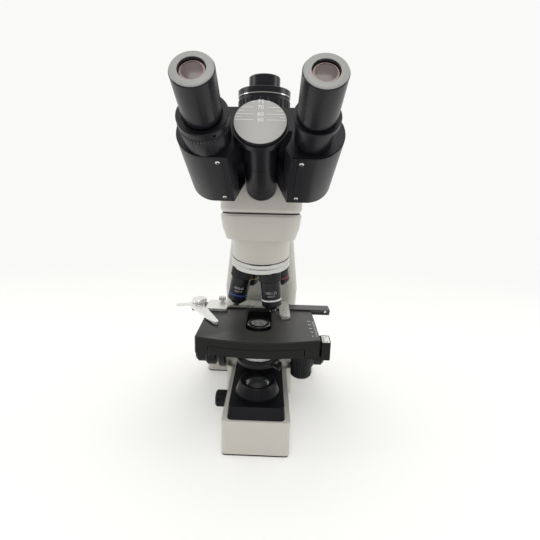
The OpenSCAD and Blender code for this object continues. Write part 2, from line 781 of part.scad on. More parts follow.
// The sprung finger that clamps the slide, turning about an upright pin
module spring_finger() {
    z0 = carriage_top + slide_gap;
    t = 2.2;
    color(steel) translate([finger_pivot[0], finger_pivot[1], 0]) {
        translate([0, 0, z0]) linear_extrude(t) polygon([
            [-26, -9.4], [-23, -11.6], [-14, -8.4], [-9.5, -9], [-8.6, -12], [-3, -20.5],
            [25.4, -61], [28.4, -63.2], [31.2, -61.6], [31, -58.6], [12.4, -19.8], [9.6, -17.4],
            [9.4, -13.5], [7, -9], [8.6, -2], [6, 5.5], [-1, 8.4], [-8.4, 4.8], [-12, -4],
            [-24, -5.6]]);
        translate([0, 0, 134]) cylinder(h = z0 - 134 + 0.1, r = 2);
        translate([0, 0, z0 + t - 0.1]) turned(5.2, 8.7, 1.2);
        translate([0, 0, stage_top + slide_gap]) linear_extrude(z0 - stage_top - slide_gap + 0.1)
            polygon([[24, -55], [28.4, -61.4], [29.8, -60], [26.4, -52]]);
    }
}

// The thumb screw and the flat screw that hold the bar on its carriage
module holder_screws() {
    z = carriage_top + bar_t + 0.02;
    color(steel) {
        translate([holder_screw_places[0][0], holder_screw_places[0][1], 0]) {
            translate([0, 0, z]) cylinder(h = 2.6, r = 2.5);
            translate([0, 0, z + 2.5]) ridged(3.7, 4.3, 20, 0.25);
            translate([0, 0, z - 5]) cylinder(h = 5.1, r = 1.46);
        }
        translate([holder_screw_places[1][0], holder_screw_places[1][1], 0]) {
            translate([0, 0, z]) turned(1.4, 3, 0.4);
            translate([0, 0, z - 5]) cylinder(h = 5.1, r = 1.46);
        }
    }
}

// ---------------------------------------------------------------- substage

module condenser_carrier() {
    y = substage_guide_y;
    // clear of the pinion's tips, which dip past the rack's pitch line
    back = y[1] - 0.3 - 1.5 * condenser_module;
    color(satin_black) difference() {
        union() {
            translate([0, 0, carrier_z[0]]) cylinder(h = carrier_z[1] - carrier_z[0], r = 22);
            block([-16, 16], [20, back], carrier_z, 2);
            block([-16, 16], [40, back], [88, carrier_z[1]], 2);
            translate([15.5, y[1] - 0.3, condenser_knob_z]) rotate([0, -90, 0])
                linear_extrude(5.5) rack([-10, 12.5], condenser_module, 4);
        }
        translate([0, 0, 80]) cylinder(h = 40, r = carrier_bore_r);
        brick([-8 - slide_gap, 8 + slide_gap], [y[0] - slide_gap, y[1] + 4], [80, 120]);
        translate([filter_pin[0], filter_pin[1], 100]) cylinder(h = 20, r = 1.54);
    }
}

// The condenser's barrel: it stands in the carrier and reaches up to the stage
module condenser_housing() {
    r = carrier_bore_r - 0.02;
    color(steel) rotate_extrude() polygon([
        [9, 93.85], [iris_bore_r - 0.05, 93.85], [iris_bore_r - 0.05, 97.3], [r - 0.4, 97.3],
        [r, 97.7], [r, 117], [16.5, 118.6], [16.5, 124], [13.2, 129.6], [13.2, 133.4],
        [12.8, 133.9], [8.2, 134.6], [7.6, 134], [7.6, 129], [9, 122]]);
}

module condenser_lens() {
    color(lens_tint) rotate_extrude() polygon([[0, 129.2], [7.56, 129.2], [7.56, 134.4],
        [5, 135.5], [2.5, 135.9], [0, 136]]);
}

module condenser_knob() {
    color(satin_black) translate([0, condenser_shaft_y, condenser_knob_z]) {
        rod_x([-50, 16.2], 2.5);
        translate([-46, 0, 0]) rotate([0, -90, 0]) {
            ridged(13, 11, 32, 0.45);
            translate([0, 0, 12.9]) cylinder(h = 1.4, r1 = 10.5, r2 = 9.4);
        }
        rotate([0, 90, 0]) translate([0, 0, 9.8]) linear_extrude(6)
            rotate([0, 0, -90]) gear(condenser_module, condenser_teeth);
    }
}

// The iris ring under the condenser, with its lever
module iris_ring() {
    color(paint_black) {
        translate([0, 0, 93.8]) ring(3.2, 24.2, iris_bore_r, 0.5);
        rotate([0, 0, -50]) {
            brick([23, 34], [-2, 2], [94.4, 96.4]);
            translate([34, 0, 95.4]) sphere(r = 2.4, $fn = 24);
        }
    }
}

// A ring for a filter that swings out on an upright pin
module filter_ring() {
    color(paint_black) difference() {
        union() {
            translate([0, 0, condenser_bottom]) ring(1.9, 23.4, 16, 0.4);
            hull() {
                translate([filter_pin[0], filter_pin[1], condenser_bottom])
                    cylinder(h = 1.9, r = 4.5, $fn = 32);
                translate([filter_pin[0] / 2, filter_pin[1] / 2 + 6, condenser_bottom])
                    cylinder(h = 1.9, r = 3, $fn = 32);
            }
            translate([filter_pin[0], filter_pin[1], condenser_bottom]) cylinder(h = 11.2, r = 3);
            translate([filter_pin[0], filter_pin[1], condenser_bottom]) cylinder(h = 17, r = 1.5);
        }
        translate([0, 0, condenser_bottom - 1]) cylinder(h = 5, r = 16);
        translate([0, 0, condenser_bottom + 0.8]) cylinder(h = 3, r = 17.5);
    }
}

// ---------------------------------------------------------------- turret

// Places its children in the turret's own frame, its axis along +Z
module turret_frame() {
    translate([0, turret_y, turret_z]) rotate([turret_tilt, 0, 0]) children();
}

// Places its children at an objective's shoulder, place counting click stops
module objective_frame(place) {
    rotate([0, 0, turret_turn + 90 * place]) translate([0, -objective_circle_r, -turret_cone])
        rotate([-turret_tilt, 0, 0]) children();
}

module nosepiece_body() {
    color(paint_white) turret_frame() difference() {
        union() {
            translate([0, 0, turret_h + 0.5]) cylinder(h = 27, r = nosepiece_r);
            translate([0, 0, -turret_cone]) cylinder(h = turret_h + 4, r = pivot_r - run_fit);
            translate([0, 0, -7.8]) turned(2.3, 9, 0.6);
            translate([0, 0, -6]) cylinder(h = 8, r = pivot_r - run_fit);
        }
        // light bore above the working objective
        translate([0, -objective_circle_r, -turret_cone]) rotate([-turret_tilt, 0, 0])
            translate([0, 0, 6]) cylinder(h = 60, r = 9);
    }
}

module turret_ring() {
    tip = (turret_r - 8) * tan(turret_tilt);
    color(steel) turret_frame() difference() {
        rotate_extrude() polygon([[pivot_r, -tip], [8, -tip], [turret_r - 1, -0.3],
            [turret_r, 0.4], [turret_r, 5], [turret_r - 0.6, 5.5], [turret_r - 0.6, 6.1],
            [turret_r, 6.6], [turret_r, turret_h - 0.5], [turret_r - 0.5, turret_h],
            [pivot_r, turret_h]]);
        for (i = [0:3]) objective_frame(i) translate([0, 0, -3]) cylinder(h = 20, r = thread_r);
    }
}

// An objective: thread, knurled collar, barrel with a coloured band, and a
// blunt cone down to its tip. The origin is at the middle of its shoulder.
module objective(l, barrel_r, tip_r, nose_l, nose_bore) {
    band = -l * 0.64;
    difference() {
        union() {
            rotate_extrude() polygon([[0, 5], [thread_r - 0.6, 5], [thread_r - run_fit, 4.4],
                [thread_r - run_fit, -1], [10.6, -0.02], [11.6, -0.02], [11.9, -0.5],
                [11.9, -1.2], [barrel_r, -1.6], [barrel_r, band + 0.6],
                [barrel_r - 0.25, band + 0.4], [barrel_r - 0.25, band - 1.6],
                [barrel_r, band - 1.8], [barrel_r, -l * 0.7 - 4.5], [tip_r + 1.4, -l + nose_l + 1.5],
                [tip_r, -l + nose_l], [0, -l + nose_l]]);
            translate([0, 0, -8.8]) ridged(7.4, 11.9, 44, 0.35);
            translate([0, 0, -9.5]) cylinder(h = 0.8, r1 = barrel_r, r2 = 11.5);
        }
        translate([0, 0, -l - 1]) cylinder(h = nose_l > 0 ? l - 5 : 2.2, r = nose_bore);
        translate([0, 0, -7]) cylinder(h = 20, r = 7.5);
    }
}

module front_lens(l, r, tip_r, stem) {
    rotate_extrude() polygon([[0, -l], [tip_r - 0.8, -l], [tip_r, -l + 0.6], [r, -l + 3.2],
        [r, -l + stem], [0, -l + stem]]);
}

module placed_objective(place, l, barrel_r, tip_r, nose_l, nose_bore) {
    turret_frame() objective_frame(place) objective(l, barrel_r, tip_r, nose_l, nose_bore);
}

module objective_4x() {
    color(satin_black) placed_objective(1, 27, 10.7, 8, 0, 6);
}

module objective_10x() {
    color(satin_black) placed_objective(2, 36, 10.6, 7, 0, 4);
}

module objective_40x() {
    color(satin_black) placed_objective(3, objective_l, 10.6, 6.2, 4.4, 4.6 + run_fit);
}

module objective_100x() {
    color(satin_black) placed_objective(0, objective_l, 10.8, 6.2, 4.4, 4.6 + run_fit);
}

module front_lens_40x() {
    color(steel) turret_frame() objective_frame(3) front_lens(objective_l, 4.6, 3.6, 12);
}

module front_lens_100x() {
    color(steel) turret_frame() objective_frame(0) front_lens(objective_l, 4.6, 3.2, 12);
}

// ---------------------------------------------------------------- head

// Places its children in the hinge's frame: +Z runs up the eye tubes
module head_frame() {
    translate([0, disc_y, disc_z]) rotate([90 - eye_slope, 0, 0]) children();
}

module head_housing() {
    w = arm_head_w / 2;
    color(paint_white) difference() {
        union() {
            hull() {
                block([-w + 2, w - 2], [-28, 44], [head_bottom, head_bottom + 1], 13, $fn = 32);
                block([-w, w], [-30, 46], [head_bottom + 3, drum_top], 14, $fn = 32);
                block([-w + 1, w - 1], [-30, 46], [drum_top + 30, drum_top + 31], 16, $fn = 32);
                block([-w + 6, w - 6], [-24, 38], [head_top - 4, head_top - 3], 16, $fn = 32);
                block([-w + 9, w - 9], [-20, 35], [head_top - 1, head_top], 14, $fn = 32);
            }
            translate([0, 0, arm_top - 7.4]) cylinder(h = 10, r = swivel_r);
        }
        // slanting face behind the wings
        head_frame() translate([-100, -100, wing_bottom_s - 1.2]) cube([200, 200, 200]);
        head_frame() translate([0, 0, hinge_end_s]) cylinder(h = 40, r = knuckle_r + 0.02);
        // light paths and the prism's room
        translate([0, 0, arm_top - 8]) cylinder(h = 60, r = 12);
        brick([-22, 22], [-16, 24], [276, 312]);
        translate([0, 0, 300]) cylinder(h = 60, r = photo_bore_r + 4);
        translate([0, rod_y, rod_z]) rod_x([10, 60], 3 + run_fit);
    }
}

module head_prism() {
    color(lens_tint) translate([-15, 20, 280]) rotate([90, 0, 0]) rotate([0, 90, 0])
        linear_extrude(30) polygon([[0, 0], [-30, 0], [-30, 26]]);
}

// Pulled out, the rod sends all the light up the photo tube
module light_path_rod() {
    color(satin_black) translate([0, rod_y, rod_z]) {
        rod_x([18, arm_head_w / 2 + 9], 3);
        rod_x([arm_head_w / 2 + 8, arm_head_w / 2 + 18], 5);
    }
}

// The fixed hinge pin of the two wings, with its collar on the housing
module hinge_post() {
    color(paint_black) head_frame() {
        rotate_extrude() polygon([[0, hinge_end_s + 0.02], [knuckle_r, hinge_end_s + 0.02],
            [knuckle_r, -84.6], [knuckle_r - 0.5, -84.2], [knuckle_r - 0.5, -83.2],
            [knuckle_r, -82.8], [knuckle_r, wing_bottom_s - 0.3], [hinge_r, wing_bottom_s - 0.3],
            [hinge_r, -3.5], [0, -3.5]]);
    }
}

// The disc with the scale of the distance between the eyes
module scale_disc() {
    color(satin_black) head_frame() {
        translate([0, 0, -2.4]) cylinder(h = 1.9, r = scale_disc_r);
        translate([0, 0, -0.6]) cylinder(h = 0.6, r1 = scale_disc_r, r2 = scale_disc_r - 0.6);
        translate([0, 0, -3.4]) cylinder(h = 1, r = scale_disc_r + 1.1);
        translate([0, 0, -8.8]) difference() {
            cylinder(h = 5.5, r = scale_disc_r);
            translate([0, 0, -1]) cylinder(h = 6.4, r = hinge_r + 0.02);
        }
    }
}

// The outline of the left wing in the hinge's frame, grown by g
module wing_outline(g = 0) {
    r = wing_outer_r + g;
    mid_v = (wing_front_v + wing_back_v) / 2;
    half = (wing_back_v - wing_front_v) / 2;
    intersection() {
        union() {
            for (v = [mid_v - half + wing_outer_r, mid_v + half - wing_outer_r])
                translate([-wing_outer_u + wing_outer_r, v]) circle(r);
            translate([-wing_outer_u + wing_outer_r, wing_front_v - g])
                square([wing_outer_u - wing_outer_r, 2 * half + 2 * g]);
            translate([-wing_outer_u - g, mid_v - half + wing_outer_r])
                square([30, 2 * (half - wing_outer_r)]);
        }
        // the inner face runs from beside the barrel of the hinge to the front corner
        polygon([[g - 0.3, 40], [g - 0.3, g], [g - 9, g],
            [1.1 * g - knuckle_r + 0.8, -2.6], [1.1 * g - 39.8, -60], [-90, -60], [-90, 40]]);
    }
}

// One wing of the head, drawn on the left: own says which part of the hinge's
// length its knuckle takes
module wing(own, other) {
    difference() {
        union() {
            translate([0, 0, wing_bottom_s]) linear_extrude(0.8) wing_outline(-0.8);
            translate([0, 0, wing_bottom_s + 0.8]) linear_extrude(wing_l - 1.6) wing_outline();
            translate([0, 0, wing_top_s - 0.8]) linear_extrude(0.8) wing_outline(-0.8);
            translate([0, 0, own[0]]) cylinder(h = own[1] - own[0], r = knuckle_r);
        }
        translate([0, 0, other[0]]) cylinder(h = other[1] - other[0], r = knuckle_r + 0.3);
        // pocket beside the other wing's barrel
        translate([0, 0, other[0]]) linear_extrude(other[1] - other[0]) intersection() {
            circle(knuckle_r + 9);
            translate([-40, -40]) square([80, 40]);
        }
        translate([0, 0, -100]) cylinder(h = 120, r = hinge_r + run_fit);
        // seat of the cover round the front and the outer side
        translate([0, 0, cover_s[0] - 0.2]) linear_extrude(cover_s[1] - cover_s[0] + 0.4)
            cover_section(0.2);
        for (s = cover_screw_s) cover_seat() translate([cover_screw_u, s, -cover_screw_l - 0.4])
            cylinder(h = 10, r = 1);
    }
}

// Places its children on the left wing's front face: X is u and Y is s
module cover_seat() {
    translate([0, wing_front_v, 0]) rotate([90, 0, 0]) children();
}

module cover_section(g = 0) {
    intersection() {
        difference() {
            wing_outline(g);
            wing_outline(-cover_t2 - g / 2);
        }
        translate([cover_edge_u - 80 + g, wing_front_v - 5]) square([80, 24 + g]);
    }
}

module wing_cover() {
    difference() {
        translate([0, 0, cover_s[0]]) linear_extrude(cover_s[1] - cover_s[0]) cover_section();
        for (s = cover_screw_s) cover_seat() translate([cover_screw_u, s, -5])
            cylinder(h = 10, r = 1);
    }
    for (s = cover_screw_s) cover_seat() translate([cover_screw_u, s, 0]) {
        translate([0, 0, 0.02]) cylinder(h = 0.5, r1 = 1.7, r2 = 1.3);
        translate([0, 0, -cover_screw_l]) cylinder(h = cover_screw_l + 0.1, r = 0.95);
    }
}

module left_wing() {
    color(paint_black) head_frame() difference() {
        union() {
            wing([knuckle_split_s, wing_top_s], [wing_bottom_s - 1, knuckle_split_s - 0.02]);
            translate([-tube_u, tube_v, wing_top_s - 1]) ring(5.2 - wing_top_s, 17.2, 12, 0.8);
        }
        translate([-tube_u, tube_v, -45]) cylinder(h = 60, r = left_bore_r);
    }
}

module right_wing() {
    color(paint_black) head_frame() difference() {
        mirror([1, 0, 0]) wing([wing_bottom_s, knuckle_split_s - 0.3],
            [knuckle_split_s - 0.28, wing_top_s + 1]);
        translate([tube_u, tube_v, -45]) cylinder(h = 60, r = 13.5);
    }
}

module left_wing_cover() {
    color(satin_black) head_frame() wing_cover();
}

module right_wing_cover() {
    color(satin_black) head_frame() mirror([1, 0, 0]) wing_cover();
}

// The fixed right eye tube, with its flange below the eyepiece
module right_tube() {
    color(paint_black) head_frame() translate([tube_u, tube_v, 0]) difference() {
        union() {
            translate([0, 0, -44.9]) cylinder(h = 55, r = 13.48);
            translate([0, 0, 8.8]) turned(4.4, 16, 0.5);
        }
        translate([0, 0, -50]) cylinder(h = 80, r = eyepiece_stem_r + run_fit);
    }
}

// The sliding inner tube of the left eye
module left_tube() {
    color(steel) head_frame() translate([-tube_u, tube_v, -30]) difference() {
        cylinder(h = eyepiece_s - 0.3 + 30, r = left_bore_r - run_fit);
        translate([0, 0, -1]) cylinder(h = 60, r = eyepiece_stem_r + run_fit);
    }
}

// The ring that focuses the left eyepiece to the eye
module diopter_ring() {
    color(paint_black) head_frame() translate([-tube_u, tube_v, 4.5]) difference() {
        union() {
            ridged(3, 18, 48, 0.35);
            translate([0, 0, 2.9]) cylinder(h = 5.1, r = 17.7);
            translate([0, 0, 7.9]) cylinder(h = 0.7, r1 = 17.7, r2 = 17);
        }
        translate([0, 0, -1]) cylinder(h = 20, r = left_bore_r);
        translate([0, 0, 4.6]) cylinder(h = 20, r = eyepiece_r + 0.4);
        for (a = [60, 180, 300]) rotate([0, 0, a]) translate([15, 0, 5.5]) rotate([0, 90, 0])
            cylinder(h = 5, r = 1.1);
    }
}

module eyepiece() {
    rotate_extrude() polygon([[9.5, -24], [eyepiece_stem_r, -24], [eyepiece_stem_r, 0],
        [eyepiece_r - 0.4, 0], [eyepiece_r, 0.4], [eyepiece_r, eyepiece_l - 1.4],
        [eyepiece_r - 0.9, eyepiece_l - 0.3], [eyepiece_r - 1.5, eyepiece_l],
        [9, eyepiece_l], [8, eyepiece_l - 1], [8, eyepiece_l - 5], [9.5, eyepiece_l - 6]]);
}

module eye_lens() {
    translate([0, 0, eyepiece_l - 5.5]) rotate_extrude() polygon([[0, 0], [7.96, 0],
        [7.96, 2.2], [6, 3], [3, 3.6], [0, 3.8]]);
}

module left_eyepiece() {
    color(paint_black) head_frame() translate([-tube_u, tube_v, eyepiece_s]) eyepiece();
}

module right_eyepiece() {
    color(paint_black) head_frame() translate([tube_u, tube_v, eyepiece_s]) eyepiece();
}

module left_eye_lens() {
    color(lens_tint) head_frame() translate([-tube_u, tube_v, eyepiece_s]) eye_lens();
}

module right_eye_lens() {
    color(lens_tint) head_frame() translate([tube_u, tube_v, eyepiece_s]) eye_lens();
}

// ---------------------------------------------------------------- photo tube

module photo_tube() {
    color(paint_black) translate([0, 0, head_top]) rotate_extrude() polygon([
        [photo_bore_r, 0.02], [21.6, 0.02], [21.6, 5.6], [19.2, 6.4], [19.2, 25.6], [24.4, 25.6],
        [clamp_ring_r, 26], [clamp_ring_r, 31.2], [24.2, 31.8],
        [photo_bore_r + 0.8, 31.8], [photo_bore_r, 31]]);
}

module photo_clamp_ring() {
    color(satin_black) translate([0, 0, head_top + 7.2]) difference() {
        union() {
            ridged(15, clamp_ring_r, 30, 0.9);
            translate([0, 0, 14.9]) cylinder(h = 3, r = clamp_ring_r - 0.6);
        }
        translate([0, 0, -1]) cylinder(h = 30, r = 19.3);
    }
}

module dust_cap() {
    color(paint_black) translate([0, 0, head_top + 31.8]) difference() {
        union() {
            turned(12.5, dust_cap_r, 0.8);
            translate([0, 0, -10]) cylinder(h = 11, r = photo_bore_r - 0.05);
        }
        translate([0, 0, -11]) cylinder(h = 20, r = 9.6);
    }
}

base_frame();
base_top_cover();
base_bottom_plate();
rubber_feet();
bottom_screws();
collector_housing();
collector_lens();
lamp_module();
power_inlet();
power_switch();
dimmer_knob();
arm();
focus_guide();
coarse_knobs();
fine_knobs();
tension_collar();
stop_collar();
stage_bracket();
stage_lower_plate();
stage_upper_plate();
vernier_bracket();
y_knob();
x_knob();
holder_carriage();
holder_bar();
spring_finger();
holder_screws();
condenser_carrier();
condenser_housing();
condenser_lens();
condenser_knob();
iris_ring();
filter_ring();
nosepiece_body();
turret_ring();
objective_4x();
objective_10x();
objective_40x();
objective_100x();
front_lens_40x();
front_lens_100x();
head_housing();
head_prism();
light_path_rod();
hinge_post();
scale_disc();
left_wing();
right_wing();
left_wing_cover();
right_wing_cover();
left_tube();
right_tube();
diopter_ring();
left_eyepiece();
right_eyepiece();
left_eye_lens();
right_eye_lens();
photo_tube();
photo_clamp_ring();
dust_cap();
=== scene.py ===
import json
from math import cos, pi, radians, sin

import bmesh
import bpy
import numpy as np
from mathutils import Matrix, Vector


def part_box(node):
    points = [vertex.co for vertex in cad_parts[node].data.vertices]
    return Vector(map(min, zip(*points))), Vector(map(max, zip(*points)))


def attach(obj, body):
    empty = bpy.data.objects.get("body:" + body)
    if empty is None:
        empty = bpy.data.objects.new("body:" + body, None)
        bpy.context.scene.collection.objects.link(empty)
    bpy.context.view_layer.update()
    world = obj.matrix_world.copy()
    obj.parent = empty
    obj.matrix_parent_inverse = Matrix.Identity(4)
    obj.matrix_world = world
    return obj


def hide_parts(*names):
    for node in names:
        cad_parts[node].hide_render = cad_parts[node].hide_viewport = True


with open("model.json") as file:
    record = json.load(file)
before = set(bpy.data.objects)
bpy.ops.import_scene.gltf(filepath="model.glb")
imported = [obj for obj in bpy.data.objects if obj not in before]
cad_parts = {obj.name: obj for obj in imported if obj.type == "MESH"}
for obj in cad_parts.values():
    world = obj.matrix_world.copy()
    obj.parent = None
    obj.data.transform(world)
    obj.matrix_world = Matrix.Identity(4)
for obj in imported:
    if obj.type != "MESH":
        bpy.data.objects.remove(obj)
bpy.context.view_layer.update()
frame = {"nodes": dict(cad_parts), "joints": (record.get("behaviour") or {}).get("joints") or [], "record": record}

bl_info = {
    "name": "Compound microscope",
    "version": (1, 0, 0),
    "blender": (4, 5, 0),
    "location": "3D View > Sidebar > Microscope",
    "description": "Finishes the microscope's castings, drives, optics and scales",
    "category": "Object",
}

MM = 0.001
# points nearer than this, in metres, count as one: in new meshes, and in copies of CAD nodes
MERGE_FINE = 1e-7
MERGE_COARSE = 2e-6
JOINTS = {j["name"]: j for j in frame["joints"]}
BODY_OF = {node: body for body, nodes in frame["record"]["behaviour"]["bodies"].items()
           for node in nodes}
SLOT_OF = {s["node"]: s["material_slot"] for s in frame["record"]["subparts"]}


# ------------------------------------------------------------------ frames of reference

class Axes:
    """A right-handed local frame: an origin and three unit directions. x is made square to z
    by taking away its part along z, and y is z crossed with x."""

    def __init__(self, origin, x, z):
        self.origin = np.array(origin, float)
        self.z = np.array(z, float) / np.linalg.norm(z)
        x = np.array(x, float)
        x = x - self.z * np.dot(x, self.z)
        self.x = x / np.linalg.norm(x)
        self.y = np.cross(self.z, self.x)

    def place(self, points):
        """Local points (n, 3) in metres, carried into the part's frame: the origin plus each
        coordinate times its direction."""
        p = np.asarray(points, float).reshape(-1, 3)
        return self.origin + p[:, :1] * self.x + p[:, 1:2] * self.y + p[:, 2:] * self.z

    def shifted(self, x=0.0, y=0.0, z=0.0):
        """The same directions from another origin, in millimetres."""
        return Axes(self.place([[x * MM, y * MM, z * MM]])[0], self.x, self.z)


WORLD = Axes((0, 0, 0), (1, 0, 0), (0, 0, 1))
HEAD = Axes(JOINTS["left_fold"]["pos_m"], (1, 0, 0), JOINTS["left_fold"]["axis"])


def eye_axes(side):
    """The frame of an eye tube, its z up the tube; side is 'left' or 'right'. The left tube
    stands where the diopter ring turns and the right one is its mirror image in x."""
    centre = np.array(JOINTS["diopter_turn"]["pos_m"]) - HEAD.origin
    u, v = np.dot(centre, HEAD.x) / MM, np.dot(centre, HEAD.y) / MM
    return HEAD.shifted(u if side == "left" else -u, v)


def objective_axes(turn):
    """The frame of an objective's barrel, its z up into the turret. All four axes meet where
    the turret's axis crosses the optical axis, the one place on it where y is 0; turn is in
    degrees about the turret's axis, from the 100x objective."""
    centre = np.array(JOINTS["turret_turn"]["pos_m"])
    axis = np.array(JOINTS["turret_turn"]["axis"])
    apex = centre - axis * centre[1] / axis[1]
    up = np.array(JOINTS["front_100x_spring"]["axis"])
    turned = Matrix.Rotation(radians(turn), 3, Vector(axis)) @ Vector(up)
    return Axes(apex, (1, 0, 0), turned)


def mesh_points(mesh):
    """A mesh's points as an array (n, 3), in metres."""
    points = np.zeros(len(mesh.vertices) * 3)
    mesh.vertices.foreach_get("co", points)
    return points.reshape(-1, 3)


def span(node, axes):
    """Lowest and highest local coordinates of a CAD node in a frame, in millimetres: each
    point's offset from the origin, dotted with the three directions."""
    points = mesh_points(frame["nodes"][node].data) - axes.origin
    local = np.stack([points @ axes.x, points @ axes.y, points @ axes.z], axis=1) / MM
    return local.min(0), local.max(0)


# ------------------------------------------------------------------ meshes

def linked(name, data):
    """A new object in the scene, at the origin."""
    obj = bpy.data.objects.new(name, data)
    bpy.context.scene.collection.objects.link(obj)
    return obj


def make_mesh(name, points, faces, smooth=True):
    """An object from points (n, 3) in metres and lists of point numbers."""
    mesh = bpy.data.meshes.new(name)
    mesh.from_pydata([tuple(p) for p in np.asarray(points, float)], [], [tuple(f) for f in faces])
    mesh.update()
    if smooth:
        mesh.shade_smooth()
    return linked(name, mesh)


def recalculated(obj):
    """Merges doubles and turns every face outwards."""
    bm = bmesh.new()
    bm.from_mesh(obj.data)
    bmesh.ops.remove_doubles(bm, verts=bm.verts, dist=MERGE_FINE)
    bmesh.ops.recalc_face_normals(bm, faces=bm.faces)
    bm.to_mesh(obj.data)
    bm.free()
    return obj


def grid_faces(rows, cols, wrap_rows=False, wrap_cols=False):
    """Quads between neighbouring points of a rows x cols grid, as one index array."""
    r = np.arange(rows if wrap_rows else rows - 1)
    c = np.arange(cols if wrap_cols else cols - 1)
    r, c = np.meshgrid(r, c, indexing="ij")
    r2, c2 = (r + 1) % rows, (c + 1) % cols
    return np.stack([r * cols + c, r2 * cols + c, r2 * cols + c2, r * cols + c2],
                    axis=-1).reshape(-1, 4)


def lathe(name, profile, axes, segments=96, closed=False):
    """A surface of revolution: point (i, j) is profile point i (radius, height) turned by j
    steps of a full circle about the frame's z. An open profile ends on the axis and a closed
    one joins its ends."""
    profile = np.asarray(profile, float) * MM
    angle = np.arange(segments) * 2 * pi / segments
    r, z = profile[:, :1], profile[:, 1:2]
    grid = np.stack([r * np.cos(angle), r * np.sin(angle), z + 0 * angle], axis=-1)
    obj = make_mesh(name, axes.place(grid.reshape(-1, 3)),
                    grid_faces(len(profile), segments, wrap_rows=closed, wrap_cols=True))
    return sharpened(recalculated(obj), 35)


def plate(name, outline, z0, z1, axes):
    """A flat closed plate: the outline (n, 2) carried from height z0 to z1 and capped."""
    outline = np.asarray(outline, float) * MM
    n = len(outline)
    low = np.column_stack([outline, np.full(n, z0 * MM)])
    high = np.column_stack([outline, np.full(n, z1 * MM)])
    faces = [list(range(n - 1, -1, -1)), list(range(n, 2 * n))]
    faces += [[i, (i + 1) % n, n + (i + 1) % n, n + i] for i in range(n)]
    obj = make_mesh(name, axes.place(np.concatenate([low, high])), faces, smooth=False)
    return recalculated(obj)


def box_outline(x0, x1, y0, y1):
    """The four corners of a rectangle, counterclockwise."""
    return [(x0, y0), (x1, y0), (x1, y1), (x0, y1)]


def joined(name, objects):
    """Several meshes made one, each as its own closed shell."""
    bm = bmesh.new()
    for o in objects:
        bm.from_mesh(o.data)
    mesh = bpy.data.meshes.new(name)
    bm.to_mesh(mesh)
    bm.free()
    for o in objects:
        old = o.data
        bpy.data.objects.remove(o)
        bpy.data.meshes.remove(old)
    return linked(name, mesh)


def sharpened(obj, angle):
    """Smooth shading, with a hard edge where faces meet at more than the angle in degrees."""
    obj.data.shade_smooth()
    obj.data.set_sharp_from_angle(angle=radians(angle))
    return obj


def printed(name, text, size, thickness, axes, wrap_r=None):
    """Raised printing: flat letters of a height, centred on the frame's x and y. With wrap_r
    the letters bend round a cylinder along the frame's y: x becomes the angle x / r about it,
    and height above the frame adds to the radius."""
    curve = bpy.data.curves.new(name, "FONT")
    curve.body = text
    curve.size = size * MM
    curve.extrude = thickness / 2
    curve.align_x = "CENTER"
    curve.align_y = "CENTER"
    lettering = linked(name, curve)
    bpy.context.view_layer.update()
    depsgraph = bpy.context.evaluated_depsgraph_get()
    mesh = bpy.data.meshes.new_from_object(lettering.evaluated_get(depsgraph))
    bpy.data.objects.remove(lettering)
    bpy.data.curves.remove(curve)
    points = mesh_points(mesh)
    if wrap_r:
        angle = points[:, 0] / (wrap_r * MM)
        radius = wrap_r * MM + points[:, 2]
        points = np.column_stack([radius * np.sin(angle), points[:, 1],
                                  radius * np.cos(angle) - wrap_r * MM])
    mesh.vertices.foreach_set("co", axes.place(points).ravel())
    mesh.materials.clear()
    return recalculated(linked(name, mesh))


def refined(node, name, width=0.4, segments=2, angle=32):
    """A finished copy of a CAD node: its loose triangles merged, its edges rounded by a bevel
    of a width in millimetres, smooth between edges sharper than the angle."""
    source = frame["nodes"][node]
    mesh = source.data.copy()
    mesh.name = name
    mesh.materials.clear()
    bm = bmesh.new()
    bm.from_mesh(mesh)
    bmesh.ops.remove_doubles(bm, verts=bm.verts, dist=MERGE_COARSE)
    bmesh.ops.dissolve_limit(bm, angle_limit=radians(1.0), verts=bm.verts, edges=bm.edges)
    bm.to_mesh(mesh)
    bm.free()
    obj = sharpened(linked(name, mesh), angle)
    bevel = obj.modifiers.new("Edge rounding", "BEVEL")
    bevel.width = width * MM
    bevel.segments = segments
    bevel.limit_method = "ANGLE"
    bevel.angle_limit = radians(angle)
    bevel.use_clamp_overlap = True
    bevel.harden_normals = True
    bevel.miter_outer = "MITER_ARC"
    finish(obj, node)
    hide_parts(node)
    return obj


# ------------------------------------------------------------------ materials

